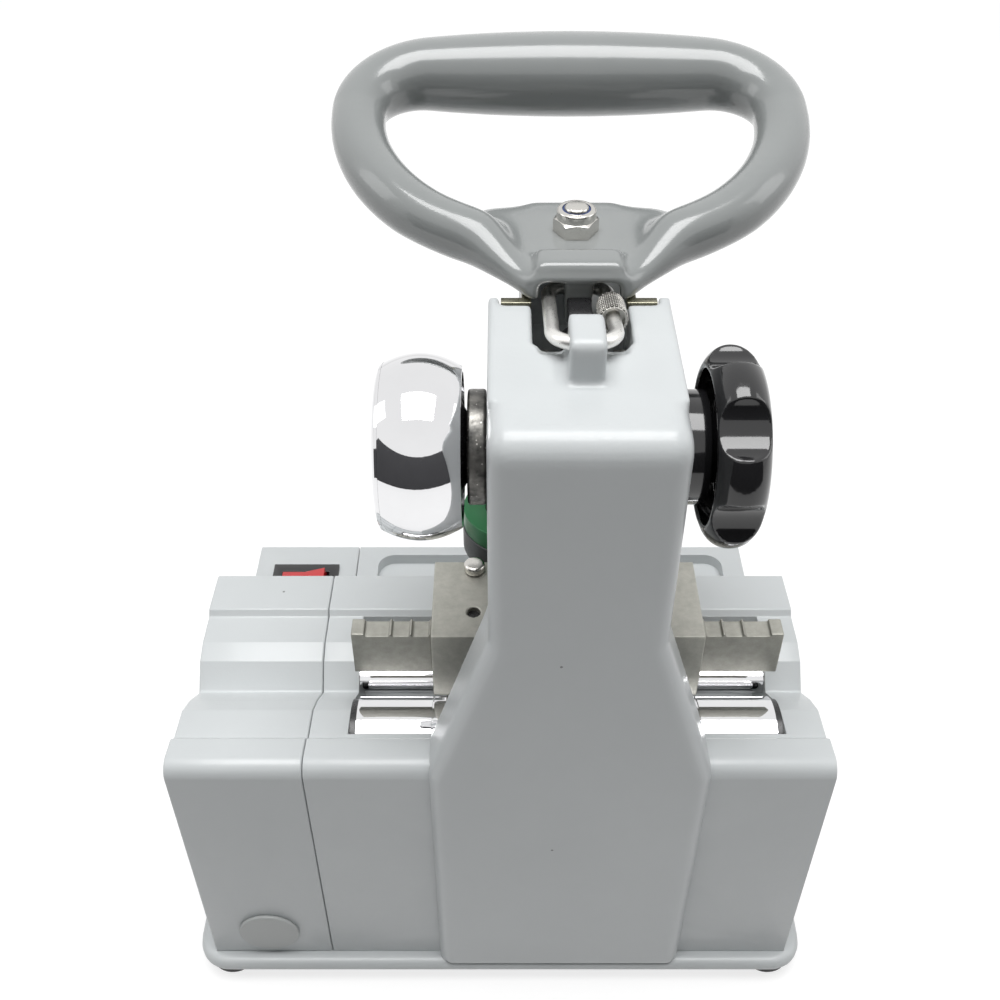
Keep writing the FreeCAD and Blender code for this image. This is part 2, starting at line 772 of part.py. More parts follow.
SLOT_X = ("core - slot_width / 2", "core + slot_width / 2")
LUG_X = ("core - lug_width", "core + lug_width")
RELIEF_Y, RELIEF_Z = ("slot_rear - relief_depth", "slot_rear + 1"), ("column_top - relief_drop",
                                                                     "column_top + 1")
RELIEF_EDGE = "(lug_width / 2 + clearance)"
leg_reliefs = [block(("core - relief_width", f"core - {RELIEF_EDGE}"), RELIEF_Y, RELIEF_Z),
               block((f"core + {RELIEF_EDGE}", "core + relief_width"), RELIEF_Y, RELIEF_Z)]
EAR_Y, EAR_Z = ("column_reach - 1", "column_reach + ear_reach"), ("column_top - ear_drop", "column_top")
ears = [block((NECK_X[0], "core - post_width / 2 - clearance"), EAR_Y, EAR_Z),
        block(("core + post_width / 2 + clearance", NECK_X[1]), EAR_Y, EAR_Z)]
column = cut(
    join(stem, lug, *ears,
         block(NECK_X, ("flare_depth - 1", "column_depth"), ("rear_top", "column_top")),
         block(NECK_X, ("column_depth - 1", "column_reach"), ("overhang_bottom", "column_top"))),
    block(("-base_width", "base_width"), ("0", "column_depth + 1"), ("0", "rear_top")),
    block(SLOT_X, ("slot_rear", "column_reach + 1"), ("overhang_bottom - 1", "column_top + 1")),
    *leg_reliefs,
    block(("core - pinion_width / 2 - clearance", "core + pinion_width / 2 + clearance"),
          ("pinion_y - pinion_pitch - 2", "slot_rear + 1"),
          ("pinion_z - pinion_pitch - 2", "pinion_z + pinion_pitch + 2")),
    rod("X", "pinion_shaft_radius + fit", (f"{NECK_X[0]} - 1", f"{NECK_X[1]} + 1"), "pinion_y",
        "pinion_z"),
    rod("X", "spring_pin_radius + fit", (f"{NECK_X[0]} + 2", f"{NECK_X[1]} - 2"), "spring_depth",
        "spring_pin_z"),
    rod("X", "lug_hole_radius", LUG_X, "lug_hole_depth", "hole_z"),
    rod("X", "lug_hole_radius", LUG_X, "lug_hole_depth + lug_hole_slot", "hole_z"),
    block(LUG_X, ("lug_hole_depth", "lug_hole_depth + lug_hole_slot"),
          ("hole_z - lug_hole_radius", "hole_z + lug_hole_radius")),
    *flange_holes)
piece("column", column)
piece("column_bolts", group(*[
    join(rod("Y", "column_bolt_radius", ("1 - column_flange", "wall"), x, z),
         rod("Y", "column_bolt_head", ("wall", "wall + column_bolt_head_height"), x, z))
    for x, z in bolt_spots]))
piece("spring_pin", rod("X", "spring_pin_radius", (f"{NECK_X[0]} + 2", f"{NECK_X[1]} - 2"),
                        "spring_depth", "spring_pin_z"))


# Return spring: one wire wound up from the pin to the seat, laid out in arcs of a quarter turn
def biarc(start, start_way, end, end_way):
    """Two arcs that leave start and reach end along the given directions."""
    span = end - start
    ways = start_way + end_way
    spread = 2 * (1 - start_way.dot(end_way))
    reach = (math.sqrt(span.dot(ways) ** 2 + spread * span.dot(span)) - span.dot(ways)) / spread
    first, last = start + start_way * reach, end - end_way * reach
    joint = (first + last) / 2
    arcs = []
    for low, corner, high in ((start, first, joint), (joint, last, end)):
        centre = (low + high) / 2
        lean = corner - centre
        half_chord = (high - low).Length / 2
        sag = half_chord * math.tan(math.atan2(lean.Length, half_chord) / 2)
        arcs.append(Part.Arc(low, centre + lean.normalize() * sag, high).toShape())
    return arcs


def wound_wire(radius, wire, turns, height):
    """Solid wire wound about Z, its ends inside the given height."""
    rise = (height - wire) / turns
    steps = int(round(turns * 4))

    def spot(quarter):
        angle = quarter * math.pi / 2
        return V(radius * math.cos(angle), radius * math.sin(angle), wire / 2 + rise * quarter / 4)

    def way(quarter):
        angle = quarter * math.pi / 2
        return V(-radius * math.sin(angle), radius * math.cos(angle), rise / (2 * math.pi)).normalize()

    arcs = []
    for quarter in range(steps):
        arcs += biarc(spot(quarter), way(quarter), spot(quarter + 1), way(quarter + 1))
    path = Part.Wire(arcs)
    shell = Part.BRepOffsetAPI.MakePipeShell(path)
    shell.add(Part.Wire(Part.Circle(spot(0), way(0), wire / 2).toShape()))
    shell.build()
    shell.makeSolid()
    points = [edge.valueAt(edge.FirstParameter) for edge in arcs]
    per_turn = 8
    gap = min((points[i + per_turn] - points[i]).Length for i in range(len(points) - per_turn)) - wire
    print("least gap between turns of the spring", round(gap, 3), "mm")
    return shell.shape()


spring = doc.addObject("Part::Feature", "spring")
spring.Shape = wound_wire(number("spring_radius"), number("spring_wire"), number("spring_turns"),
                          number("spring_height"))
stand(spring, "Z", "spring_bottom", "core", "spring_depth")
piece("return_spring", spring)


# Slide ram with two rails in the slideway, and the rack between them
RAIL = [(f"{SLOT_X[0]} + slip", f"{SLOT_X[0]} + slip + rail_width"),
        (f"{SLOT_X[1]} - slip - rail_width", f"{SLOT_X[1]} - slip")]
ram_rear = "slot_rear + slip"
rails = [block(x, (ram_rear, f"{ram_rear} + rail_depth"),
               ("ram_bottom", "column_top - rail_top_drop")) for x in RAIL]
ram_foot = block((RAIL[0][0], RAIL[1][1]), (ram_rear, "head_rear"), ("ram_bottom", "ram_top"))
rack_pitch_y = "pinion_y + pinion_pitch"
rack_back = f"{rack_pitch_y} + tooth_dedendum + rack_depth"
ram = cut(join(ram_foot, *rails),
          block((RAIL[0][1], RAIL[1][0]), (f"{ram_rear} - 1", rack_back),
                ("ram_bottom + wall", "column_top")))
piece("slide_ram", ram)


def tooth_half(radius_step):
    """Half width of a tooth, radius_step outside the pitch line, for straight 20 degree flanks."""
    pitch = math.pi * number("pinion_module")
    return (pitch / 2 - number("tooth_backlash")) / 2 - radius_step * math.tan(math.radians(20))


def extruded(points, length):
    outline = Part.makePolygon(points + points[:1])
    return Part.Face(outline).extrude(length)


def pinion_shape():
    """Spur pinion about X with one tooth pointing straight at the rack."""
    pitch_radius, count = number("pinion_pitch"), int(number("pinion_teeth"))
    points = []
    for i in range(count):
        middle = 2 * math.pi * i / count
        for step, side in ((-1, -1), (1, -1), (1, 1), (-1, 1)):
            out = number("tooth_addendum") if step > 0 else -number("tooth_dedendum")
            half = tooth_half(out) if step > 0 else tooth_half(out * 0.6)
            radius = pitch_radius + out
            angle = middle + side * half / radius
            points.append(V(0, radius * math.cos(angle), radius * math.sin(angle)))
    return extruded(points, V(number("pinion_width"), 0, 0))


def rack_shape():
    """Straight rack along Z with a gap at the middle, teeth towards the pinion."""
    pitch = math.pi * number("pinion_module")
    count = int(number("rack_half_length") / pitch)
    back = number("tooth_dedendum + rack_depth")
    points = [V(0, back, -number("rack_half_length"))]
    points.append(V(0, number("tooth_dedendum"), -number("rack_half_length")))
    for i in range(-count, count):
        middle = (i + 0.5) * pitch
        for out, side in ((-1, -1), (1, -1), (1, 1), (-1, 1)):
            step = number("tooth_addendum") if out > 0 else -number("tooth_dedendum")
            points.append(V(0, -step, middle + side * tooth_half(step)))
    points.append(V(0, number("tooth_dedendum"), number("rack_half_length")))
    points.append(V(0, back, number("rack_half_length")))
    return extruded(points, V(number("pinion_width"), 0, 0))


pinion_gear = doc.addObject("Part::Feature", "pinion")
pinion_gear.Shape = pinion_shape()
place(pinion_gear, "core - pinion_width / 2", "pinion_y", "pinion_z")
shaft_bore = rod("X", "pinion_shaft_radius", ("core - pinion_width", "core + pinion_width"),
                 "pinion_y", "pinion_z")
piece("pinion", cut(pinion_gear, shaft_bore))
rack_bar = doc.addObject("Part::Feature", "rack")
rack_bar.Shape = rack_shape()
place(rack_bar, "core - pinion_width / 2", rack_pitch_y, "pinion_z")
piece("rack", rack_bar)

# Spring seat reaching back from the handle's hook over the spring
piece("spring_seat", block(("core - seat_width / 2", "core + seat_width / 2"),
                           ("spring_depth", "hook_rear"), ("spring_top", "spring_top + seat_height")))


# Pinion shaft with the chrome feed knob on its left and the lock knob on its right
knob_right = f"{NECK_X[0]} - clearance - collar_width - hub_gap"
knob_left = f"{knob_right} - knob_width"
lock_left = f"{NECK_X[1]} + clearance + lock_collar_width"
lock_right = f"{lock_left} + lock_width"
piece("pinion_shaft", rod("X", "pinion_shaft_radius",
                          (f"{knob_left} + knob_web / 3", f"{lock_right} - lock_hollow_depth"),
                          "pinion_y", "pinion_z"))
knob_rim_inner = "knob_radius - knob_crown - knob_rim"
knob = lathe([(knob_right, "knob_radius - knob_crown"), (knob_left, "knob_radius - knob_crown"),
              (knob_left, "0"),
              (f"{knob_left} + knob_web", "0"), (f"{knob_left} + knob_web", knob_rim_inner),
              (knob_right, knob_rim_inner)], "X", "pinion_y", "pinion_z", "knob_radius")
knob_hub = rod("X", "knob_hub_radius", (f"{knob_left} + knob_web", knob_right), "pinion_y", "pinion_z")
shaft_hole = rod("X", "pinion_shaft_radius + fit", (f"{knob_left} + knob_web / 3", f"{knob_right} + 1"),
                 "pinion_y", "pinion_z")
piece("feed_knob", cut(knob, shaft_hole))
piece("knob_hub", cut(knob_hub, rod("X", "pinion_shaft_radius + fit", (knob_left, f"{knob_right} + 1"),
                                    "pinion_y", "pinion_z")))
collar_right = f"{NECK_X[0]} - clearance"
piece("knob_collar", tube("X", "collar_radius", "pinion_shaft_radius + fit",
                          (f"{collar_right} - collar_width", collar_right), "pinion_y", "pinion_z"))

lobed = lathe([(lock_right, "lock_radius - lock_crown"), (lock_left, "lock_radius - lock_crown"),
               (lock_left, "0"), (lock_right, "0")], "X", "pinion_y", "pinion_z", "lock_radius")
lobes = int(number("lock_lobes"))
reach = "(lock_radius + lock_scallop - lock_scallop_bite)"
scallops = []
for i in range(lobes):
    turn = number("lock_turn") + 360.0 * i / lobes
    scallops.append(rod("X", "lock_scallop", (f"{lock_left} - 1", f"{lock_right} + 1"),
                        f"pinion_y + {reach} * cos({turn})", f"pinion_z + {reach} * sin({turn})"))
lobed = cut(lobed, *scallops)
hollow = rod("X", "lock_hollow", (f"{lock_left} - 1", f"{lock_left} + lock_hollow_depth"),
             "pinion_y", "pinion_z")
lock_hub = rod("X", "lock_hub_radius", (lock_left, f"{lock_left} + lock_hollow_depth + 1"),
               "pinion_y", "pinion_z")
lock_bore = rod("X", "pinion_shaft_radius + fit",
                (f"{lock_left} - 1", f"{lock_right} - lock_hollow_depth + clearance"),
                "pinion_y", "pinion_z")
piece("lock_knob", cut(join(cut(lobed, hollow), lock_hub), lock_bore))
piece("lock_collar", tube("X", "collar_radius", "pinion_shaft_radius + fit",
                          (f"{NECK_X[1]} + clearance", lock_left), "pinion_y", "pinion_z"))


# Sliding head: casting with a post under the handle, bores for the motor, spindle and tracer
CUTTER_X, TRACER_X = "core + tool_spacing / 2", "core - tool_spacing / 2"
POST_X = ("core - post_width / 2", "core + post_width / 2")
WAIST_X = ("core - post_waist / 2", "core + post_waist / 2")
WING_Y, POST_Y = ("head_rear", "head_rear + wing_depth"), ("head_rear", "head_rear + post_depth")
POST_Z, PLATE_Z = ("head_top - 1", "plate_under"), ("plate_under", "web_under")
head = join(
    block(("core - head_left", "core + head_right"), ("head_rear", "head_rear + head_depth"),
          ("head_bottom", "head_top")),
    block(POST_X, WING_Y, POST_Z),
    block(WAIST_X, POST_Y, POST_Z),
    rod("Z", "nose_radius", ("nose_bottom", "head_bottom + 1"), CUTTER_X, "tool_y"),
    rod("Z", "tracer_nose_radius", ("nose_bottom", "head_bottom + 1"), TRACER_X, "tool_y"))
channel = block(SLOT_X, ("head_rear - 1", "head_rear + post_channel_depth"),
                ("plate_under - post_channel_drop", "column_top"))
motor_floor = "head_top - motor_seat"
bearing_low = "nose_bottom + 2"
stud_y = "bolt_depth"
head = cut(
    head, channel,
    rod("Z", "motor_radius + fit", (motor_floor, "plate_under + 1"), CUTTER_X, "tool_y"),
    rod("Z", "bearing_radius", ("nose_bottom - 1", f"{motor_floor} + 1"), CUTTER_X, "tool_y"),
    rod("Z", "spindle_radius + fit", ("nose_bottom - 1", "head_top + 1"), TRACER_X, "tool_y"),
    rod("Z", "stud_radius", ("plate_under - stud_depth", "plate_under + 1"), "core", stud_y))
piece("head_body", head)

plate_cut = block(SLOT_X, ("head_rear - 1", "head_rear + post_channel_depth"),
                  ("plate_under - 1", "web_under + 1"))
top_plate = cut(
    join(block(POST_X, WING_Y, PLATE_Z), block(WAIST_X, POST_Y, PLATE_Z)),
    plate_cut, rod("Z", "stud_radius + fit", ("plate_under - 1", "web_under + 1"), "core", stud_y))
piece("top_plate", top_plate)

motor = rod("Z", "motor_radius", (motor_floor, "head_top + motor_proud"), CUTTER_X, "tool_y")
spindle_top = f"{motor_floor} + spindle_reach"
piece("spindle_motor", cut(motor, rod("Z", "spindle_radius + fit",
                                      (f"{motor_floor} - 1", f"{spindle_top} + clearance"),
                                      CUTTER_X, "tool_y")))
bearing_rows = (bearing_low, f"{motor_floor} - 2 - bearing_height")
piece("spindle_bearings", group(*[
    tube("Z", "bearing_radius", "spindle_radius + fit", (row, f"{row} + bearing_height"), CUTTER_X,
         "tool_y")
    for row in bearing_rows]))

# Cutter spindle, collet nut and bit turn together
spindle_bottom = "nose_bottom - clearance - collet_height / 2"
piece("cutter_spindle", cut(
    rod("Z", "spindle_radius", (spindle_bottom, spindle_top), CUTTER_X, "tool_y"),
    rod("Z", "bit_radius", (f"{spindle_bottom} - 1", f"{spindle_bottom} + bit_grip"), CUTTER_X,
        "tool_y")))
piece("collet_nut", cut(
    rod("Z", "collet_radius", ("nose_bottom - clearance - collet_height",
                               "nose_bottom - clearance"), CUTTER_X, "tool_y"),
    rod("Z", "spindle_radius", (spindle_bottom, "nose_bottom"), CUTTER_X, "tool_y"),
    rod("Z", "bit_radius", ("nose_bottom - 2 * collet_height", "nose_bottom"), CUTTER_X, "tool_y")))
piece("cutter_bit", rod("Z", "bit_radius", ("tip_z", f"{spindle_bottom} + bit_grip"), CUTTER_X, "tool_y"))

# Tracer: stem in the head, pin below it, dial and green ring round it
stem_bottom = "dial_bottom + 2"
piece("tracer_stem", cut(
    rod("Z", "spindle_radius", (stem_bottom, "head_top - wall"), TRACER_X, "tool_y"),
    rod("Z", "bit_radius", (f"{stem_bottom} - 1", f"{stem_bottom} + bit_grip"), TRACER_X, "tool_y")))
piece("tracer_pin", rod("Z", "bit_radius", ("tip_z", f"{stem_bottom} + bit_grip"), TRACER_X, "tool_y"))
piece("tracer_dial", tube("Z", "dial_radius", "spindle_radius + fit", ("dial_bottom", "dial_top"),
                          TRACER_X, "tool_y"))
piece("tracer_ring", tube("Z", "dial_radius - clearance", "tracer_nose_radius + clearance",
                          ("dial_top", "dial_top + green_ring_height"), TRACER_X, "tool_y"))


# Handle: D ring on a tilted plane, joined to a flat web and neck with a hook lug below
def ring_solid():
    """Ring in its own plane: grip along X, corners, sides and tails that taper into the web."""
    item = []
    grip, half = number("grip_offset"), number("grip_half_length")
    tube_r, arm_r, tail_r = number("tube_radius"), number("arm_tube_radius"), number("web_thickness / 2")
    corner, side = number("corner_radius"), number("side_radius")
    sweep, lean = math.radians(number("side_sweep")), math.sqrt(0.5)
    bulge = Part.Arc(V(-half, tube_r, 0), V(0, number("grip_radius"), 0), V(half, tube_r, 0)).toShape()
    ends = [V(half, tube_r, 0), V(half, 0, 0), V(-half, 0, 0), V(-half, tube_r, 0)]
    lines = [Part.LineSegment(ends[i], ends[i + 1]).toShape() for i in range(3)]
    bar = Part.Face(Part.Wire([bulge] + lines)).revolve(V(), X_AXIS, 360)
    bar.translate(V(0, grip, 0))
    item.append(bar)
    for sign in (-1, 1):
        start = V(sign * half, grip, 0)
        widest = V(sign * (half + corner), grip - corner, 0)
        corner_mid = V(sign * (half + corner * lean), grip - corner + corner * lean, 0)
        centre = V(sign * (half + corner - side), grip - corner, 0)
        side_mid = centre + V(sign * side * math.cos(sweep / 2), -side * math.sin(sweep / 2), 0)
        foot = centre + V(sign * side * math.cos(sweep), -side * math.sin(sweep), 0)
        inward = V(-sign * math.sin(sweep), -math.cos(sweep), 0)
        turn = Part.Arc(start, corner_mid, widest).toShape()
        run = Part.Arc(widest, side_mid, foot).toShape()
        for path, first, last in ((turn, (start, X_AXIS, tube_r), (widest, V(0, -1, 0), arm_r)),
                                  (run, (widest, V(0, -1, 0), arm_r), (foot, inward, arm_r))):
            shell = Part.BRepOffsetAPI.MakePipeShell(Part.Wire([path]))
            for section in (first, last):
                shell.add(Part.Wire(Part.Circle(*section).toShape()))
            shell.build()
            shell.makeSolid()
            item.append(shell.shape())
        item.append(Part.makeSphere(arm_r, foot))
        tail = V(sign * number("neck_width / 2 + 1"), -number("tail_reach"), 0)
        item.append(Part.makeCone(arm_r, tail_r, (tail - foot).Length, foot, tail - foot))
        item.append(Part.makeSphere(tail_r, tail))
    return item[0].fuse(item[1:])


ring = doc.addObject("Part::Feature", "ring")
ring.Shape = ring_solid()
ring.Placement = FreeCAD.Placement(V(), FreeCAD.Rotation(X_AXIS, number("handle_tilt")))
place(ring, "core", "bolt_depth", "web_under + arm_tube_radius")
WEB_EDGE = [("neck_width / 2", "neck_rear"), ("web_waist_width / 2", "bolt_depth - web_waist"),
            ("web_bend_width / 2", "bolt_depth + web_front / 6"), ("web_bend_width / 2",
                                                                   "bolt_depth + web_front / 2"),
            ("web_width / 2", "bolt_depth + web_front")]
WEB_OUTLINE = [(f"core - {x}", y) for x, y in WEB_EDGE] + [(f"core + {x}", y) for x,
                                                           y in reversed(WEB_EDGE)]
web = padded("XY_Plane", WEB_OUTLINE, "web_under", "web_thickness")
HOOK_X = ("core - hook_width / 2", "core + hook_width / 2")
toe_top = "hook_z - link_wire - clearance"
channel_top = "web_under + neck_channel_height"
hook = join(
    block(HOOK_X, ("hook_rear", "hook_front"), (f"{toe_top} - hook_toe", f"{channel_top} + 1")),
    block(HOOK_X, ("hook_rear", "hook_y + link_wire + hook_toe"), (f"{toe_top} - hook_toe", toe_top)))
roof = block(("core - neck_roof_width / 2", "core + neck_roof_width / 2"),
             ("neck_roof_rear", "neck_roof_rear + neck_roof_depth"), ("web_under + 1",
                                                                      "web_top + neck_roof_rise"))
roof = round_edges(roof, "neck_round", lambda edge: at(edge, z=number("web_top + neck_roof_rise")))
neck_channel = block(("core - neck_channel_width / 2", "core + neck_channel_width / 2"),
                     ("neck_rear - 1", "hook_y + link_wire + hook_toe + clearance"),
                     ("web_under - 1", channel_top))
below_web = block(("-base_width", "base_width"), ("0", "bolt_depth + web_front + wall"),
                  ("0", "web_under"))
nut_seat = tube("Z", "nut_flats", "stud_radius", ("web_top", "web_top + grip_radius"), "core", stud_y)
solid = cut(join(cut(join(ring, web), below_web), roof), neck_channel, nut_seat,
            rod("Z", "stud_radius + fit", ("web_under - 1", "web_top + wall"), "core", stud_y))
handle = join(solid, hook)
piece("handle", handle)

# Stud, lock nut and its nylon insert clamp the handle and top plate to the head
insert_bottom = "web_top + nut_height"
piece("handle_stud", rod("Z", "stud_radius",
                         ("plate_under - stud_depth",
                          f"{insert_bottom} + nut_insert_height + stud_proud"),
                         "core", stud_y))
nut = doc.addObject("Part::Prism", "nut")
nut.Polygon = 6
bind(nut, "Circumradius", "nut_flats / sqrt(3)")
bind(nut, "Height", "nut_height")
stand(nut, "Z", "web_top", "core", stud_y)
piece("lock_nut", cut(nut, rod("Z", "stud_radius + fit", ("web_top - 1", f"{insert_bottom} + 1"),
                               "core", stud_y)))
piece("nut_insert", tube("Z", "nut_insert_radius", "stud_radius + fit",
                         (insert_bottom, f"{insert_bottom} + nut_insert_height"), "core", stud_y))


# Quick link from the column's lug to the handle's hook, with its screw sleeve on the right leg
def link_arc(y, turn):
    arc = doc.addObject("Part::Torus", "bend")
    bind(arc, "Radius1", "link_half_width")
    bind(arc, "Radius2", "link_wire")
    arc.Angle3 = 180
    arc.Placement.Rotation = FreeCAD.Rotation(Z_AXIS, turn)
    bind(arc, "Placement.Base.y", y)
    return arc


def link_leg(x, radius, low, high):
    leg = doc.addObject("Part::Cylinder", "leg")
    bind(leg, "Radius", radius)
    bind(leg, "Height", f"({high}) - ({low})")
    leg.Placement.Rotation = TURNS["Y"]
    bind(leg, "Placement.Base.x", x)
    bind(leg, "Placement.Base.y", low)
    return leg


def hang(item):
    item.Placement.Rotation = FreeCAD.Rotation(X_AXIS, number("-link_angle"))
    place(item, "core", "lug_hole_depth", "hole_z")
    return item


straight = ("link_half_width", "link_length - link_half_width")
wire_link = join(link_arc(straight[0], 180), link_arc(straight[1], 0),
                 link_leg("link_half_width", "link_wire", *straight),
                 link_leg("-link_half_width", "link_wire", *straight))
piece("quick_link", hang(wire_link))
sleeve_span = ("link_sleeve_start", "link_sleeve_start + link_sleeve_length")
piece("link_sleeve", hang(cut(link_leg("link_half_width", "link_sleeve_radius", *sleeve_span),
                              link_leg("link_half_width", "link_wire + fit", *straight))))


# Carriage: plated block on the guide rod with a notched arm on each side
BLOCK_X = ("core - block_width / 2", "core + block_width / 2")
saddle = block(("core - saddle_width / 2", "core + saddle_width / 2"),
               ("guide_depth - guide_radius - saddle_wall + clearance",
                "guide_depth + guide_radius + saddle_wall"),
               ("saddle_bottom", "block_bottom + 1"))
apron = block(("core - apron_width / 2", "core + apron_width / 2"),
              ("guide_depth", "block_front"), ("cross_rod_z - cross_rod_radius - saddle_wall",
                                               "block_bottom + 1"))
rod_x = ["core - cross_rod_spread / 2", "core + cross_rod_spread / 2"]
rod_rear = "guide_depth + guide_radius + cross_rod_seat"
screw_x = [f"core + ({side}) * block_screw_spread / 2" for side in (-1, 1)]
set_y = "block_front - set_screw_front"
block_solid = join(block(BLOCK_X, ("block_rear", "block_front"), ("block_bottom", "block_top")),
                   saddle, apron)
carriage = cut(
    block_solid,
    rod("X", "guide_radius + slip", (f"{BLOCK_X[0]} - 1", f"{BLOCK_X[1]} + 1"), "guide_depth", "guide_z"),
    *[rod("Y", "cross_rod_radius", (rod_rear, "block_front + 1"), x, "cross_rod_z") for x in rod_x],
    *[rod("Z", "set_screw_radius", ("block_top - set_screw_hole", "block_top + 1"), x,
          set_y) for x in screw_x])
piece("carriage_block", carriage)

arm_y = ("block_rear + arm_setback", "block_rear + arm_setback + arm_thickness")
arm_top = "block_top - arm_drop"
arms = []
for side in (-1, 1):
    root, tip = f"core + ({side}) * block_width / 2", f"core + ({side}) * (block_width / 2 + arm_length)"
    span = (tip, root) if side < 0 else (root, tip)
    arm = block(span, arm_y, (f"{arm_top} - arm_height", arm_top))
    notches = []
    near = "block_width / 2"
    for width in ("arm_notch_near", "arm_notch_mid", "arm_notch_far"):
        near, far = f"{near} + arm_notch_land", f"{near} + arm_notch_land + {width}"
        edges = [f"core + ({side}) * ({near})", f"core + ({side}) * ({far})"]
        notches.append(block(tuple(edges[::side]), (f"{arm_y[0]} - 1", f"{arm_y[1]} + 1"),
                             (f"{arm_top} - arm_notch_depth", f"{arm_top} + 1")))
        near = far
    arms.append(cut(arm, *notches))
piece("side_arms", group(*arms))
piece("carriage_screws", group(*[
    rod("Z", "block_screw_radius", ("block_top", "block_top + block_screw_head"), x,
        "block_front - block_screw_front")
    for x in screw_x]))
piece("set_screws", group(*[
    rod("Z", "set_screw_radius", ("block_top - set_screw_hole", "block_top - set_screw_hole / 3"),
        x, set_y)
    for x in screw_x]))
piece("cross_rods", group(*[rod("Y", "cross_rod_radius",
                                (rod_rear, "block_front + cross_rod_front - wall"), x, "cross_rod_z")
                            for x in rod_x]))


# Key table on the cross rods, with a fixed jaw, a front lug, a moving jaw and a clamp for each key
JAW_X = {"left": TRACER_X, "right": CUTTER_X}
TABLE_Y = ("table_rear", "table_front")
table_items = [
    block(("core - table_width / 2", "core + table_width / 2"), TABLE_Y, ("table_bottom", "jaw_floor")),
    block(("core - table_rib_width / 2", "core + table_rib_width / 2"), TABLE_Y,
          ("jaw_floor - 1", "rib_top")),
]
for x in JAW_X.values():
    jaw_span = (f"{x} - jaw_width / 2", f"{x} + jaw_width / 2")
    table_items.append(block(jaw_span, ("table_rear", "fixed_jaw_front"), ("jaw_floor - 1", "jaw_top")))
    table_items.append(block(jaw_span, ("lug_front_y", "table_front"), ("jaw_floor - 1", "jaw_top")))
table = cut(
    join(*table_items),
    *[rod("Y", "cross_rod_radius + slip", ("table_rear - 1", "table_front + 1"), x,
          "cross_rod_z") for x in rod_x],
    *[rod("Y", "clamp_radius + fit", ("fixed_jaw_front - clamp_bury - fit", "table_front + 1"), x,
          "clamp_z")
      for x in JAW_X.values()])
piece("vise_table", table)

lever_z = "jaw_floor - table_thickness / 2"
lever_end = "table_front + lever_length"
piece("table_lever", rod("Y", "lever_radius", ("table_front", lever_end), "core", lever_z))
ball = doc.addObject("Part::Sphere", "ball")
bind(ball, "Radius", "ball_radius")
place(ball, "core", f"{lever_end} + ball_radius / 2", lever_z)
piece("lever_ball", cut(ball, rod("Y", "lever_radius", ("table_front", lever_end), "core", lever_z)))

for side, x in JAW_X.items():
    jaw = block((f"{x} - jaw_width / 2", f"{x} + jaw_width / 2"),
                ("moving_jaw_rear", "moving_jaw_rear + jaw_thickness"), ("jaw_floor + slip", "jaw_top"))
    piece(f"{side}_jaw", cut(jaw, rod("Y", "clamp_radius + fit", ("tool_y", "table_front"), x,
                                      "clamp_z")))
    knob_start = "table_front + clamp_knob_gap"
    piece(f"{side}_clamp", join(
        rod("Y", "clamp_radius", ("fixed_jaw_front - clamp_bury", f"{knob_start} + 1"), x, "clamp_z"),
        rod("Y", "clamp_knob_radius", (knob_start, f"{knob_start} + clamp_knob_length"), x, "clamp_z")))

doc.recompute()
for item in doc.Objects:
    if "Invalid" in item.State or "Error" in item.State:
        raise RuntimeError(f"{item.Label} failed: {item.State}")
for name, item in PIECES.items():
    if item.Shape.isNull() or not item.Shape.isValid() or not item.Shape.Solids:
        raise RuntimeError(f"{name} has no valid solid")

os.makedirs("parts", exist_ok=True)
for name, item in PIECES.items():
    item.Shape.exportStep(f"parts/{name}.step")
print(len(PIECES), "sub-parts written")
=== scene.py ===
import json
import math

import bpy
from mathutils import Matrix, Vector


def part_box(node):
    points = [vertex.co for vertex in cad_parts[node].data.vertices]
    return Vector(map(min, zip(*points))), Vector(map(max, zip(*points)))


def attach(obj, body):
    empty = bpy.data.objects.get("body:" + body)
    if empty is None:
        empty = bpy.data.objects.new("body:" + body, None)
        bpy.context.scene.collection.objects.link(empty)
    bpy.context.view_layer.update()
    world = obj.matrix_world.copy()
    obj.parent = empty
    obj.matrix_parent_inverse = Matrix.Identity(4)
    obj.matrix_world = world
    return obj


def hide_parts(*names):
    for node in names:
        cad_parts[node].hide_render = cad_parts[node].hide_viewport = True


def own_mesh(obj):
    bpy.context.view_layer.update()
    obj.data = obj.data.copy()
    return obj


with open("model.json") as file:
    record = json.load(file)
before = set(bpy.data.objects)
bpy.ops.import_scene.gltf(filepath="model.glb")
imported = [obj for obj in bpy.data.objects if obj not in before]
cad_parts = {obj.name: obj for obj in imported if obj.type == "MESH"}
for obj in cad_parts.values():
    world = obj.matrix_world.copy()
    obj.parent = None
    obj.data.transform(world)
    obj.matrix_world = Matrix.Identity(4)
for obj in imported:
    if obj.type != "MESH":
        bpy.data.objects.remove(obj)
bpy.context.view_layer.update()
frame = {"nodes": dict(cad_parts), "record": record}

# Base plate: a steel plate with a rounded rim under the whole machine, powder coated the same
# pale grey as the castings. The housing, the side cover and the column stand on it.
PALE_GREY = (0.600, 0.625, 0.632)
GREY_SHADE = (0.572, 0.597, 0.604)
PIT_GREY = (0.22, 0.23, 0.23)
JOIN_WITHIN = 2e-6

nodes = frame["nodes"]
bodies = frame["record"]["behaviour"]["bodies"]


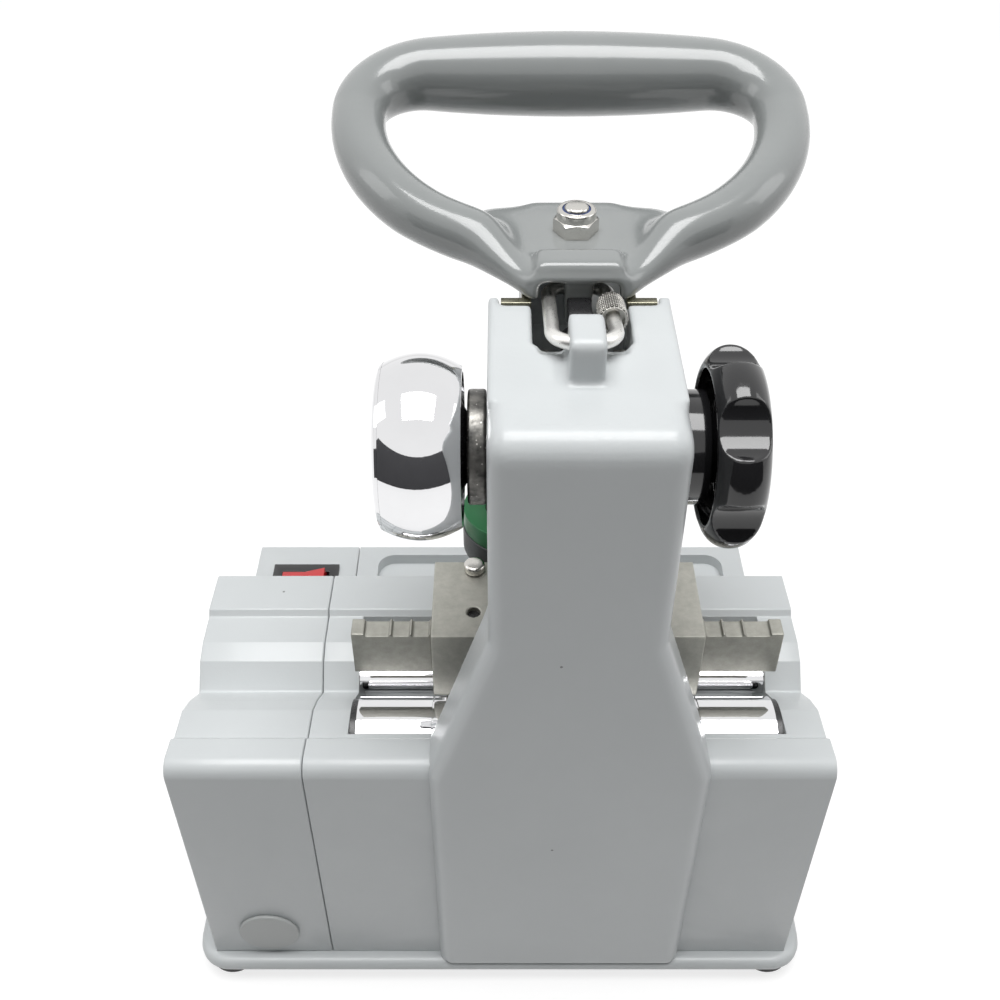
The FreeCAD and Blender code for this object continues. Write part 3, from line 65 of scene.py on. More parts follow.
def surface_group():
    """Node group shared by all finishes: fine grain, broad clouding and a few small round pits."""
    group = bpy.data.node_groups.new("surface_detail", "ShaderNodeTree")
    face = group.interface
    for label in ("Grain Scale", "Cloud Scale", "Pit Scale", "Pit Size", "Pit Share"):
        face.new_socket(label, in_out="INPUT", socket_type="NodeSocketFloat")
    for label in ("Grain", "Cloud", "Pits"):
        face.new_socket(label, in_out="OUTPUT", socket_type="NodeSocketFloat")
    made = group.nodes.new
    link = group.links.new
    inputs = made("NodeGroupInput")
    outputs = made("NodeGroupOutput")
    place = made("ShaderNodeTexCoord")
    for label, detail, rough in (("Grain", 3.0, 0.55), ("Cloud", 4.0, 0.6)):
        noise = made("ShaderNodeTexNoise")
        noise.inputs["Detail"].default_value = detail
        noise.inputs["Roughness"].default_value = rough
        link(place.outputs["Object"], noise.inputs["Vector"])
        link(inputs.outputs[f"{label} Scale"], noise.inputs["Scale"])
        link(noise.outputs["Fac"], outputs.inputs[label])
    cells = made("ShaderNodeTexVoronoi")
    link(place.outputs["Object"], cells.inputs["Vector"])
    link(inputs.outputs["Pit Scale"], cells.inputs["Scale"])
    near = made("ShaderNodeMath")
    near.operation = "LESS_THAN"
    link(cells.outputs["Distance"], near.inputs[0])
    link(inputs.outputs["Pit Size"], near.inputs[1])
    chance = made("ShaderNodeSeparateColor")
    link(cells.outputs["Color"], chance.inputs[0])
    picked = made("ShaderNodeMath")
    picked.operation = "LESS_THAN"
    link(chance.outputs[0], picked.inputs[0])
    link(inputs.outputs["Pit Share"], picked.inputs[1])
    both = made("ShaderNodeMath")
    both.operation = "MULTIPLY"
    link(near.outputs[0], both.inputs[0])
    link(picked.outputs[0], both.inputs[1])
    link(both.outputs[0], outputs.inputs["Pits"])
    return group


surface_detail = surface_group()

# Sockets of a Mix node that is set to colours
MIX_SHARE = 0
MIX_FIRST = 6
MIX_SECOND = 7
MIX_RESULT = 2


def finish(name, colour, shade, pit, metallic, roughness, bump, grain,
           cloud=18.0, pits=(90.0, 0.03, 0.4), coat=0.0):
    """Material: clouded colour with pits, roughness between two values and a grain bump in millimetres.

    grain and cloud are scales of noise, and pits holds the scale, size and share of the pits.
    """
    noise_range = (0.3, 0.7)
    material = bpy.data.materials.new(name)
    material.use_nodes = True
    tree = material.node_tree
    made = tree.nodes.new
    link = tree.links.new
    shader = tree.nodes["Principled BSDF"]
    detail = made("ShaderNodeGroup")
    detail.node_tree = surface_detail
    detail.inputs["Grain Scale"].default_value = grain
    detail.inputs["Cloud Scale"].default_value = cloud
    for label, value in zip(("Pit Scale", "Pit Size", "Pit Share"), pits):
        detail.inputs[label].default_value = value
    spread = made("ShaderNodeMapRange")
    spread.inputs["From Min"].default_value = noise_range[0]
    spread.inputs["From Max"].default_value = noise_range[1]
    link(detail.outputs["Cloud"], spread.inputs["Value"])
    clouded = made("ShaderNodeMix")
    clouded.data_type = "RGBA"
    clouded.inputs[MIX_FIRST].default_value = (*colour, 1)
    clouded.inputs[MIX_SECOND].default_value = (*shade, 1)
    link(spread.outputs["Result"], clouded.inputs[MIX_SHARE])
    pitted = made("ShaderNodeMix")
    pitted.data_type = "RGBA"
    pitted.inputs[MIX_SECOND].default_value = (*pit, 1)
    link(clouded.outputs[MIX_RESULT], pitted.inputs[MIX_FIRST])
    link(detail.outputs["Pits"], pitted.inputs[MIX_SHARE])
    link(pitted.outputs[MIX_RESULT], shader.inputs["Base Color"])
    gloss = made("ShaderNodeMapRange")
    gloss.inputs["From Min"].default_value = noise_range[0]
    gloss.inputs["From Max"].default_value = noise_range[1]
    gloss.inputs["To Min"].default_value = roughness[0]
    gloss.inputs["To Max"].default_value = roughness[1]
    link(detail.outputs["Grain"], gloss.inputs["Value"])
    link(gloss.outputs["Result"], shader.inputs["Roughness"])
    relief = made("ShaderNodeBump")
    relief.inputs["Strength"].default_value = 0.7
    relief.inputs["Distance"].default_value = bump / 1000
    link(detail.outputs["Grain"], relief.inputs["Height"])
    link(relief.outputs["Normal"], shader.inputs["Normal"])
    shader.inputs["Metallic"].default_value = metallic
    shader.inputs["Coat Weight"].default_value = coat
    shader.inputs["Coat Roughness"].default_value = 0.05
    return material


powder_coat = finish(
    "pale_powder_coat", colour=PALE_GREY, shade=GREY_SHADE, pit=PIT_GREY, metallic=0.0,
    roughness=(0.30, 0.40), bump=0.055, grain=620.0, cloud=16.0, pits=(55.0, 0.030, 0.30), coat=0.10)


def select_only(piece):
    """Make a piece the active and only selected object."""
    bpy.ops.object.select_all(action="DESELECT")
    piece.select_set(True)
    bpy.context.view_layer.objects.active = piece


def merged_copy(node, label):
    """New piece from a CAD node, with its loose triangles joined, as the only selected object."""
    piece = bpy.data.objects.new(f"{node}_{label}", nodes[node].data.copy())
    bpy.context.scene.collection.objects.link(piece)
    select_only(piece)
    bpy.ops.object.mode_set(mode="EDIT")
    bpy.ops.mesh.select_all(action="SELECT")
    bpy.ops.mesh.remove_doubles(threshold=JOIN_WITHIN)
    bpy.ops.object.mode_set(mode="OBJECT")
    return piece


def stands_for(piece, node, material):
    """Dress a piece, let it ride with its node's body and hide the node."""
    piece.data.materials.clear()
    piece.data.materials.append(material)
    body = next(name for name, held in bodies.items() if node in held)
    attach(piece, body)
    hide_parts(node)


def smooth(piece, passes, zone=""):
    """Smooth a piece a number of times, all over or by the weights of a vertex group."""
    soften = piece.modifiers.new("soften", "SMOOTH")
    soften.factor = 0.5
    soften.iterations = passes
    soften.vertex_group = zone
    bpy.ops.object.modifier_apply(modifier=soften.name)


def soft_casting(node, material, voxel, passes, keep, melt=None):
    """Copy of a node whose hard edges are rounded as a thickly coated casting's are.

    keep is the share of faces left at the end. melt, where given, is a number of passes and a
    weight by place for a zone that flows together.
    """
    piece = merged_copy(node, "cast")
    grid = piece.modifiers.new("grid", "REMESH")
    grid.mode = "VOXEL"
    grid.voxel_size = voxel
    bpy.ops.object.modifier_apply(modifier=grid.name)
    if melt:
        melt_passes, weight = melt
        zone = piece.vertex_groups.new(name="melt")
        for vertex in piece.data.vertices:
            zone.add([vertex.index], weight(vertex.co), "REPLACE")
        smooth(piece, melt_passes, zone.name)
        piece.vertex_groups.clear()
    smooth(piece, passes)
    thin = piece.modifiers.new("thin", "DECIMATE")
    thin.ratio = keep
    bpy.ops.object.modifier_apply(modifier=thin.name)
    bpy.ops.object.shade_smooth()
    stands_for(piece, node, material)


soft_casting("base_plate", powder_coat, voxel=0.0010, passes=22, keep=0.3)

# Feet: moulded black rubber cones screwed under the plate's corners.
# They are matte, slightly dusty and grainy from the mould.
FLAT_WITHIN = math.radians(0.4)
SHARP_FROM = math.radians(38)
SMOOTH_UP_TO = math.radians(32)

rubber = finish(
    "black_rubber", colour=(0.016, 0.016, 0.016), shade=(0.028, 0.028, 0.028), pit=(0.06, 0.06, 0.06),
    metallic=0.0, roughness=(0.7, 0.85), bump=0.08, grain=1500.0)


def eased(node, material, width, segments=3):
    """Copy of a node with its sharp edges broken to a small round."""
    piece = merged_copy(node, "eased")
    bpy.ops.object.mode_set(mode="EDIT")
    bpy.ops.mesh.select_all(action="SELECT")
    bpy.ops.mesh.dissolve_limited(angle_limit=FLAT_WITHIN)
    bpy.ops.object.mode_set(mode="OBJECT")
    bevel = piece.modifiers.new("broken_edges", "BEVEL")
    bevel.limit_method = "ANGLE"
    bevel.angle_limit = SHARP_FROM
    bevel.width = width
    bevel.segments = segments
    bpy.ops.object.modifier_apply(modifier=bevel.name)
    bpy.ops.object.shade_smooth_by_angle(angle=SMOOTH_UP_TO)
    stands_for(piece, node, material)


eased("rubber_feet", rubber, width=0.0015)

# Base housing: the main aluminium casting, powder coated, with its window's edges broken by hand.
# It carries the shafts, the window they cross and the tray, and is bolted to the base plate.
eased("base_housing", powder_coat, width=0.0007)

# Side cover: the same stepped casting closing off the electrical bay on the left.
# It is screwed on from inside, with a thin dark seam to the housing.
eased("side_cover", powder_coat, width=0.0007)

# Hole plug: a moulded plastic disc that snaps into the spare cable hole in the rear wall.
# It is coloured like the coating and stands a little proud of the wall.
plug_grey = finish(
    "plug_plastic", colour=(0.520, 0.535, 0.530), shade=(0.495, 0.510, 0.505), pit=PIT_GREY,
    metallic=0.0, roughness=(0.42, 0.52), bump=0.02, grain=1500.0)
eased("hole_plug", plug_grey, width=0.0006)

# Rocker switch: a black moulded frame let into the deck, with a red rocker on a pin across it.
# Both are glossy mouldings, and the rocker is left without marks.
black_gloss = finish(
    "black_moulding", colour=(0.008, 0.008, 0.009), shade=(0.012, 0.012, 0.013), pit=(0.03, 0.03, 0.03),
    metallic=0.0, roughness=(0.08, 0.14), bump=0.008, grain=700.0, cloud=30.0, pits=(120.0, 0.02, 0.3),
    coat=0.4)
red_moulding = finish(
    "red_moulding", colour=(0.60, 0.018, 0.022), shade=(0.50, 0.012, 0.016), pit=(0.4, 0.03, 0.03),
    metallic=0.0, roughness=(0.14, 0.22), bump=0.01, grain=900.0, cloud=60.0, pits=(200.0, 0.02, 0.2),
    coat=0.4)
eased("switch_body", black_gloss, width=0.0004)
eased("switch_rocker", red_moulding, width=0.0005)

# Mains inlet and power supply: a moulded socket in the side cover's wall, and a boxed supply
# that stands on the base plate inside the cover.
black_satin = finish(
    "black_oxide", colour=(0.012, 0.012, 0.013), shade=(0.019, 0.019, 0.020), pit=(0.08, 0.08, 0.08),
    metallic=0.0, roughness=(0.24, 0.36), bump=0.015, grain=1400.0, cloud=30.0, pits=(160.0, 0.03, 0.4))


def dress(material, *names):
    """Give CAD nodes a finish."""
    for name in names:
        mesh = nodes[name].data
        mesh.materials.clear()
        mesh.materials.append(material)


eased("power_inlet", black_gloss, width=0.0006)
dress(black_satin, "power_supply")

# Rear shaft, its bushes and the guide rod: ground and hard-chromed bars across the window,
# held in black sleeves pressed into the cheeks.
chrome = finish(
    "hard_chrome", colour=(0.82, 0.82, 0.83), shade=(0.78, 0.78, 0.79), pit=(0.60, 0.60, 0.60),
    metallic=1.0, roughness=(0.02, 0.05), bump=0.002, grain=2200.0, cloud=40.0, pits=(160.0, 0.015, 0.2))
dress(chrome, "rear_shaft", "guide_rod")
dress(black_satin, "shaft_bushes")

# Column: the tapered aluminium casting bolted flat to the rear wall, coated like the base.
# Its top overhangs forward as the head's slideway and ends in a small eye for the link.
soft_casting("column", powder_coat, voxel=0.0010, passes=4, keep=0.5)

# Column bolts and spring pin: plain bright steel, turned and hidden from outside. The bolts hold
# the column to the rear wall, and the pin is pressed into the column under the spring.
bright_steel = finish(
    "bright_steel", colour=(0.68, 0.665, 0.63), shade=(0.60, 0.585, 0.555), pit=(0.34, 0.33, 0.31),
    metallic=1.0, roughness=(0.16, 0.26), bump=0.008, grain=1600.0, cloud=50.0, pits=(220.0, 0.03, 0.4))
dress(bright_steel, "column_bolts", "spring_pin")

# Return spring and its seat: blackened spring wire under a black finger on the handle's hook.
# The spring stands on its pin under the seat, which presses on it as the head comes down; here it keeps one
# length.
WIRE_SMOOTH_UP_TO = math.radians(40)

hinges = {joint["name"]: joint for joint in frame["record"]["behaviour"]["joints"]}
spring = merged_copy("return_spring", "wound")
bpy.ops.object.shade_smooth_by_angle(angle=WIRE_SMOOTH_UP_TO)
stands_for(spring, "return_spring", black_satin)
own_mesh(spring)
eased("spring_seat", black_satin, width=0.0006)

# Slide ram and rack: milled steel, guided in the column's slot by two rails.
# The rack is screwed between the rails, where the pinion meets it.
milled_steel = finish(
    "milled_steel", colour=(0.56, 0.55, 0.525), shade=(0.48, 0.47, 0.45), pit=(0.30, 0.29, 0.27),
    metallic=1.0, roughness=(0.26, 0.38), bump=0.01, grain=1500.0, cloud=60.0, pits=(220.0, 0.03, 0.4))
eased("slide_ram", milled_steel, width=0.0004)
dress(milled_steel, "rack")

# Head: coated casting that carries the motor, the cutter spindle and the tracer.
# Its two noses hang below the body and its post rises behind them to the handle.
eased("head_body", powder_coat, width=0.0014, segments=4)
eased("spindle_motor", milled_steel, width=0.0012)
dress(bright_steel, "spindle_bearings")

# Cutter spindle, collet nut and bit: turned steel on the motor's axis.
# The nut draws the collet shut on the bit's shank and is tightened by hand.
dress(bright_steel, "cutter_spindle", "cutter_bit")
eased("collet_nut", bright_steel, width=0.0008)

# Tracer: steel stem and pin beside the cutter, screwed up and down by a dark moulded dial.
# A green plastic ring lies on the dial.
dial_grey = finish(
    "dark_dial", colour=(0.028, 0.032, 0.032), shade=(0.04, 0.044, 0.044), pit=(0.1, 0.1, 0.1),
    metallic=0.0, roughness=(0.32, 0.45), bump=0.02, grain=1500.0)
green_ring = finish(
    "green_ring", colour=(0.006, 0.170, 0.046), shade=(0.005, 0.140, 0.038), pit=(0.02, 0.20, 0.07),
    metallic=0.0, roughness=(0.28, 0.4), bump=0.02, grain=1500.0)
dress(bright_steel, "tracer_stem", "tracer_pin")
eased("tracer_dial", dial_grey, width=0.0006)
eased("tracer_ring", green_ring, width=0.0005)

# Top plate: a thin steel plate cut from sheet, its olive, darker colour a painted reflection of dark
# surroundings on its top.
# The stud clamps it between the head's post and the handle.
olive_painted_reflection = finish(
    "olive_painted_reflection", colour=(0.46, 0.44, 0.34), shade=(0.37, 0.355, 0.27), pit=(0.2, 0.19, 0.15),
    metallic=1.0, roughness=(0.24, 0.36), bump=0.012, grain=1400.0)
eased("top_plate", olive_painted_reflection, width=0.0003)

# Handle: a cast ring with a flat web and an arched neck, dipped in mid-grey gloss enamel.
# The stud through the web clamps it and the top plate to the head's post.
# Each pair below is where the arms' zone starts and where it is full, from the stud or the web's underside.
ARM_INNER = (0.014, 0.021)
ARM_OUTER = (0.060, 0.045)
ARM_AHEAD = (0.045, 0.030)
ARM_RISE = (-0.001, 0.003)
ARM_PASSES = 230

enamel = finish(
    "grey_enamel", colour=(0.262, 0.276, 0.274), shade=(0.248, 0.262, 0.260), pit=(0.20, 0.21, 0.21),
    metallic=0.0, roughness=(0.17, 0.24), bump=0.05, grain=130.0, cloud=10.0, pits=(60.0, 0.012, 0.3),
    coat=0.4)
stud_low, stud_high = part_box("handle_stud")
stud_axis = ((stud_low[0] + stud_high[0]) / 2, (stud_low[1] + stud_high[1]) / 2)
web_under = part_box("top_plate")[1][2]


def ramp(value, limits):
    """Share of the way from one limit to the other, held at 0 and 1."""
    start, stop = limits
    return min(max((value - start) / (stop - start), 0.0), 1.0)


def arm_roots(place):
    """Weight of the zone where the ring's arms run out into the web, on both sides of the stud."""
    aside = abs(place.x - stud_axis[0])
    across = ramp(aside, ARM_INNER) * ramp(aside, ARM_OUTER)
    return across * ramp(place.y - stud_axis[1], ARM_AHEAD) * ramp(place.z - web_under, ARM_RISE)


soft_casting("handle", enamel, voxel=0.0009, passes=22, keep=0.6,
             melt=(ARM_PASSES, arm_roots))

# Stud, lock nut and insert: zinc-plated steel with a blue nylon ring in the nut's collar.
# The hexagon's corners are turned off to a cone, as on a bought nut.
# A point within the skin counts as on the outside, and a face whose normal reaches FACING as an end.
HEX_HEIGHT = 0.0050
HEX_LEDGE = 0.0002
HEX_FACE = 0.0003
HEX_SKIN = 0.00005
CONE_SLOPE = 0.62
COLLAR_RADIUS = 0.0064
COLLAR_SUNK = 0.0008
COLLAR_ROUND = 0.0007
COLLAR_RECESS = 0.0007
NYLON_RADIUS = 0.0047
NYLON_HEIGHT = 0.0014
NYLON_BELOW = 0.0009
NYLON_ROUND = 0.0003
COLLAR_TOP_AREA = 0.00003
ROUND_SIDES = 72
FACING = 0.9
NUT_SMOOTH_UP_TO = math.radians(24)

eased("handle_stud", bright_steel, width=0.0009)


def settle(piece):
    """Put a piece's place and turn into its mesh."""
    select_only(piece)
    bpy.ops.object.transform_apply(location=True, rotation=True, scale=True)


def drum(name, sides, radius, depth, centre, turn=(0, 0, 0)):
    """Round or many-sided start of a piece."""
    bpy.ops.object.select_all(action="DESELECT")
    bpy.ops.mesh.primitive_cylinder_add(
        vertices=sides, radius=radius, depth=depth, location=centre, rotation=turn)
    piece = bpy.context.object
    piece.name = name
    settle(piece)
    return piece


def pick_faces(piece, wanted):
    """Enter edit mode with only the faces that the test picks."""
    bpy.ops.object.mode_set(mode="OBJECT")
    bpy.context.view_layer.objects.active = piece
    mesh = piece.data
    for group in (mesh.vertices, mesh.edges, mesh.polygons):
        group.foreach_set("select", [False] * len(group))
    for face in mesh.polygons:
        face.select = wanted(face)
    bpy.ops.object.mode_set(mode="EDIT")
    bpy.ops.mesh.select_mode(type="FACE")


def push(x=0.0, z=0.0):
    """Extrude the picked faces along an axis."""
    bpy.ops.mesh.extrude_region_move(TRANSFORM_OT_translate={"value": (x, 0, z)})


nut_low, nut_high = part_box("lock_nut")
nut_foot = nut_low[2]
nut_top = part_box("nut_insert")[1][2]
half_flats = (nut_high[1] - nut_low[1]) / 2
hex_top = nut_foot + HEX_HEIGHT
nut = drum("lock_nut_turned", ROUND_SIDES, half_flats, HEX_HEIGHT, (*stud_axis, (nut_foot + hex_top) / 2))
pick_faces(nut, lambda face: face.normal.z > FACING)
bpy.ops.mesh.inset(thickness=HEX_LEDGE)
bpy.ops.mesh.inset(thickness=HEX_FACE)
bpy.ops.object.mode_set(mode="OBJECT")
for vertex in nut.data.vertices:
    across = vertex.co.x - stud_axis[0]
    along = vertex.co.y - stud_axis[1]
    radius = math.hypot(across, along)
    turn = math.atan2(along, across)
    if radius > half_flats - HEX_SKIN:
        corner = half_flats / math.cos((turn % (math.pi / 3)) - math.pi / 6)
        vertex.co.x = stud_axis[0] + across * corner / radius
        vertex.co.y = stud_axis[1] + along * corner / radius
        if vertex.co.z > (nut_foot + hex_top) / 2:
            vertex.co.z -= (corner - half_flats + HEX_LEDGE) * CONE_SLOPE
collar_foot = hex_top - COLLAR_SUNK
collar = drum("lock_nut_collar", ROUND_SIDES, COLLAR_RADIUS, nut_top - collar_foot,
              (*stud_axis, (collar_foot + nut_top) / 2))
pick_faces(collar, lambda face: face.normal.z > FACING)
bpy.ops.mesh.bevel(offset=COLLAR_ROUND, segments=4, affect="EDGES")
pick_faces(collar, lambda face: face.normal.z > FACING and face.area > COLLAR_TOP_AREA)
bpy.ops.mesh.inset(thickness=COLLAR_RADIUS - COLLAR_ROUND - NYLON_RADIUS)
push(z=-COLLAR_RECESS)
bpy.ops.object.mode_set(mode="OBJECT")
select_only(nut)
collar.select_set(True)
bpy.ops.object.join()
bpy.ops.object.shade_smooth_by_angle(angle=NUT_SMOOTH_UP_TO)
stands_for(nut, "lock_nut", bright_steel)

blue_nylon = finish(
    "blue_nylon", colour=(0.018, 0.042, 0.15), shade=(0.014, 0.03, 0.11), pit=(0.05, 0.1, 0.3),
    metallic=0.0, roughness=(0.4, 0.5), bump=0.02, grain=1200.0)
insert = drum("nut_insert_ring", ROUND_SIDES, NYLON_RADIUS, NYLON_HEIGHT,
              (*stud_axis, nut_top - NYLON_BELOW))
pick_faces(insert, lambda face: face.normal.z > FACING)
bpy.ops.mesh.bevel(offset=NYLON_ROUND, segments=2, affect="EDGES")
bpy.ops.object.mode_set(mode="OBJECT")
bpy.ops.object.shade_smooth_by_angle(angle=NUT_SMOOTH_UP_TO)
stands_for(insert, "nut_insert", blue_nylon)

# Feed knob: a chromed brass cup pressed on a black cone, on the pinion's shaft.
# Its rim is turned to a sharp edge, and a steel collar, scratched and dark from use, stands between it and
# the column.
KNOB_CROWN = 0.004
KNOB_RIM = 0.0018
KNOB_EDGE = 0.0022
KNOB_SKIN = 0.0002
KNOB_SIDES = 144
KNOB_RINGS = 24
KNOB_END_AREA = 0.0005
HUB_RADIUS = 0.0205
HUB_NOSE = 0.0105
HUB_SHOULDER = 0.0015
HUB_BEHIND_RIM = 0.003
HUB_SIDES = 96
LYING = (0, math.pi / 2, 0)
KNOB_SMOOTH_UP_TO = math.radians(30)

dress(bright_steel, "pinion_shaft", "pinion")


def pick_edges(piece, wanted):
    """Enter edit mode with only the edges that the test picks by their two ends."""
    bpy.ops.object.mode_set(mode="OBJECT")
    bpy.context.view_layer.objects.active = piece
    bpy.ops.object.mode_set(mode="EDIT")
    bpy.ops.mesh.select_mode(type="EDGE")
    bpy.ops.mesh.select_all(action="DESELECT")
    bpy.ops.object.mode_set(mode="OBJECT")
    points = piece.data.vertices
    for edge in piece.data.edges:
        edge.select = wanted(points[edge.vertices[0]].co, points[edge.vertices[1]].co)
    bpy.ops.object.mode_set(mode="EDIT")


knob_y, knob_z = hinges["feed_turn"]["pos_m"][1:]
knob_low, knob_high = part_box("feed_knob")
knob_radius = (knob_high[2] - knob_low[2]) / 2
knob_width = knob_high[0] - knob_low[0]
knob_middle = (knob_low[0] + knob_high[0]) / 2
hub_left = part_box("knob_hub")[0][0]
knob = drum("feed_knob_turned", KNOB_SIDES, knob_radius - KNOB_CROWN, knob_width,
            (knob_middle, knob_y, knob_z), LYING)
pick_edges(knob, lambda one, two: abs(one.x - two.x) > knob_width / 2)
bpy.ops.mesh.subdivide(number_cuts=KNOB_RINGS)
pick_faces(knob, lambda face: face.normal.x > FACING)
bpy.ops.mesh.inset(thickness=KNOB_RIM)
push(x=hub_left - knob_high[0])
bpy.ops.object.mode_set(mode="OBJECT")
for vertex in knob.data.vertices:
    across = vertex.co.y - knob_y
    up = vertex.co.z - knob_z
    radius = math.hypot(across, up)
    along = (vertex.co.x - knob_middle) / (knob_width / 2)
    if radius > knob_radius - KNOB_CROWN - KNOB_SKIN:
        grow = (radius + KNOB_CROWN * (1 - along * along)) / radius
        vertex.co.y = knob_y + across * grow
        vertex.co.z = knob_z + up * grow
pick_faces(knob, lambda face: face.normal.x < -FACING and face.area > KNOB_END_AREA)
bpy.ops.mesh.bevel(offset=KNOB_EDGE, segments=6, affect="EDGES")
bpy.ops.object.mode_set(mode="OBJECT")
bpy.ops.object.shade_smooth_by_angle(angle=KNOB_SMOOTH_UP_TO)
stands_for(knob, "feed_knob", chrome)

collar_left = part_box("knob_collar")[0][0]
hub_right = knob_high[0] - HUB_BEHIND_RIM
hub = drum("knob_hub_cone", HUB_SIDES, HUB_RADIUS, hub_right - hub_left,
           ((hub_left + hub_right) / 2, knob_y, knob_z), LYING)
pick_faces(hub, lambda face: face.normal.x > FACING)
bpy.ops.mesh.inset(thickness=HUB_SHOULDER)
push(x=collar_left - hub_right)
bpy.ops.object.mode_set(mode="OBJECT")
hub_taper = HUB_NOSE / (HUB_RADIUS - HUB_SHOULDER)
for vertex in hub.data.vertices:
    if vertex.co.x > (hub_right + collar_left) / 2:
        vertex.co.y = knob_y + (vertex.co.y - knob_y) * hub_taper
        vertex.co.z = knob_z + (vertex.co.z - knob_z) * hub_taper
bpy.ops.object.shade_smooth_by_angle(angle=KNOB_SMOOTH_UP_TO)
stands_for(hub, "knob_hub", black_satin)

worn_steel = finish(
    "worn_steel", colour=(0.30, 0.29, 0.27), shade=(0.035, 0.035, 0.034), pit=(0.50, 0.48, 0.45),
    metallic=0.9, roughness=(0.30, 0.55), bump=0.05, grain=700.0, cloud=130.0, pits=(700.0, 0.2, 0.35))
eased("knob_collar", worn_steel, width=0.0009)

# Lock knob and collar: a moulded black hand wheel with six finger scallops, on the pinion's shaft.
# A blackened steel collar stands between it and the column.
soft_casting("lock_knob", black_gloss, voxel=0.0005, passes=5, keep=0.5)
eased("lock_collar", black_gloss, width=0.0005)

# Quick link and sleeve: bright zinc-plated wire loop closed by a screwed sleeve.
# The sleeve is turned from bar and knurled in crossed grooves for the fingers.
LINK_SLOPE = math.radians(-12.3)
SLEEVE_LENGTH = 0.015
SLEEVE_SIDES = 160
SLEEVE_RINGS = 80
SLEEVE_SKIN = 0.00002
SLEEVE_WALL = 0.0006
SLEEVE_MOUTH = 0.003
SLEEVE_END_AREA = 0.00002
PLAIN_END = 0.0006
KNURL_DEPTH = 0.0006
KNURL_COUNT = 20
KNURL_SMOOTH_UP_TO = math.radians(12)
# Groove colour, crest colour, and the crest heights over which one fades into the other: the grooves are
# painted almost black as painted shade.
GROOVE_PAINTED_SHADE = (0.02, 0.018, 0.015)
CREST_ZINC = (0.52, 0.51, 0.48)
GROOVE_SHADE_FADES = (0.25, 0.80)

zinc = finish(
    "bright_zinc", colour=(0.86, 0.85, 0.82), shade=(0.80, 0.79, 0.76), pit=(0.50, 0.49, 0.46),
    metallic=0.92, roughness=(0.26, 0.36), bump=0.006, grain=1800.0, cloud=60.0, pits=(220.0, 0.02, 0.3))
dress(zinc, "quick_link")
sleeve_low, sleeve_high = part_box("link_sleeve")
sleeve_radius = (sleeve_high[0] - sleeve_low[0]) / 2
knurl_root = sleeve_radius - KNURL_DEPTH


def knurl(angle, along):
    """Height of the crossed grooves, from 0 to 1."""
    turn = angle / (2 * math.pi)
    climb = along / (2 * math.pi * sleeve_radius)
    return min(1 - 2 * abs((turn + lean * climb) * KNURL_COUNT % 1 - 0.5) for lean in (-1, 1))


sleeve = drum("link_sleeve_knurled", SLEEVE_SIDES, knurl_root, SLEEVE_LENGTH, (0, 0, 0))
pick_edges(sleeve, lambda one, two: abs(one.z - two.z) > SLEEVE_LENGTH / 2)
bpy.ops.mesh.subdivide(number_cuts=SLEEVE_RINGS)
for side in (-1, 1):
    pick_faces(sleeve, lambda face: face.normal.z * side > FACING and face.area > SLEEVE_END_AREA)
    bpy.ops.mesh.inset(thickness=SLEEVE_WALL)
    push(z=-side * SLEEVE_MOUTH)
bpy.ops.object.mode_set(mode="OBJECT")
crests = sleeve.data.attributes.new("crest", "FLOAT", "POINT")
for vertex in sleeve.data.vertices:
    radius = math.hypot(vertex.co.x, vertex.co.y)
    crests.data[vertex.index].value = 1.0
    if radius > knurl_root - SLEEVE_SKIN and abs(vertex.co.z) < SLEEVE_LENGTH / 2 - PLAIN_END:
        crest = knurl(math.atan2(vertex.co.y, vertex.co.x), vertex.co.z)
        crests.data[vertex.index].value = crest
        grow = 1 + KNURL_DEPTH * crest / radius
        vertex.co.x *= grow
        vertex.co.y *= grow
sleeve.rotation_euler = (LINK_SLOPE - math.pi / 2, 0, 0)
sleeve.location = (Vector(sleeve_low) + Vector(sleeve_high)) / 2
settle(sleeve)
bpy.ops.object.shade_smooth_by_angle(angle=KNURL_SMOOTH_UP_TO)

# Knurled copy of the zinc with painted shade in the grooves, set by each point's crest height.
knurled_zinc = zinc.copy()
knurled_zinc.name = "knurled_zinc"
tree = knurled_zinc.node_tree
height = tree.nodes.new("ShaderNodeAttribute")
height.attribute_name = "crest"
groove_shade_share = tree.nodes.new("ShaderNodeMapRange")
groove_shade_share.inputs["From Min"].default_value = GROOVE_SHADE_FADES[0]
groove_shade_share.inputs["From Max"].default_value = GROOVE_SHADE_FADES[1]
tree.links.new(height.outputs["Fac"], groove_shade_share.inputs["Value"])
grooved = tree.nodes.new("ShaderNodeMix")
grooved.data_type = "RGBA"
grooved.inputs[MIX_FIRST].default_value = (*GROOVE_PAINTED_SHADE, 1)
grooved.inputs[MIX_SECOND].default_value = (*CREST_ZINC, 1)
tree.links.new(groove_shade_share.outputs["Result"], grooved.inputs[MIX_SHARE])
tree.links.new(grooved.outputs[MIX_RESULT], tree.nodes["Principled BSDF"].inputs["Base Color"])
stands_for(sleeve, "link_sleeve", knurled_zinc)

# Carriage: nickel-plated cast block on the guide rod, with a notched bar on each side.
# Two bright cap screws and two black grub screws hold what it carries.
nickel = finish(
    "cast_nickel", colour=(0.470, 0.462, 0.418), shade=(0.385, 0.380, 0.342), pit=(0.12, 0.12, 0.11),
    metallic=0.75, roughness=(0.40, 0.55), bump=0.05, grain=1500.0, cloud=300.0, pits=(110.0, 0.035, 0.35))
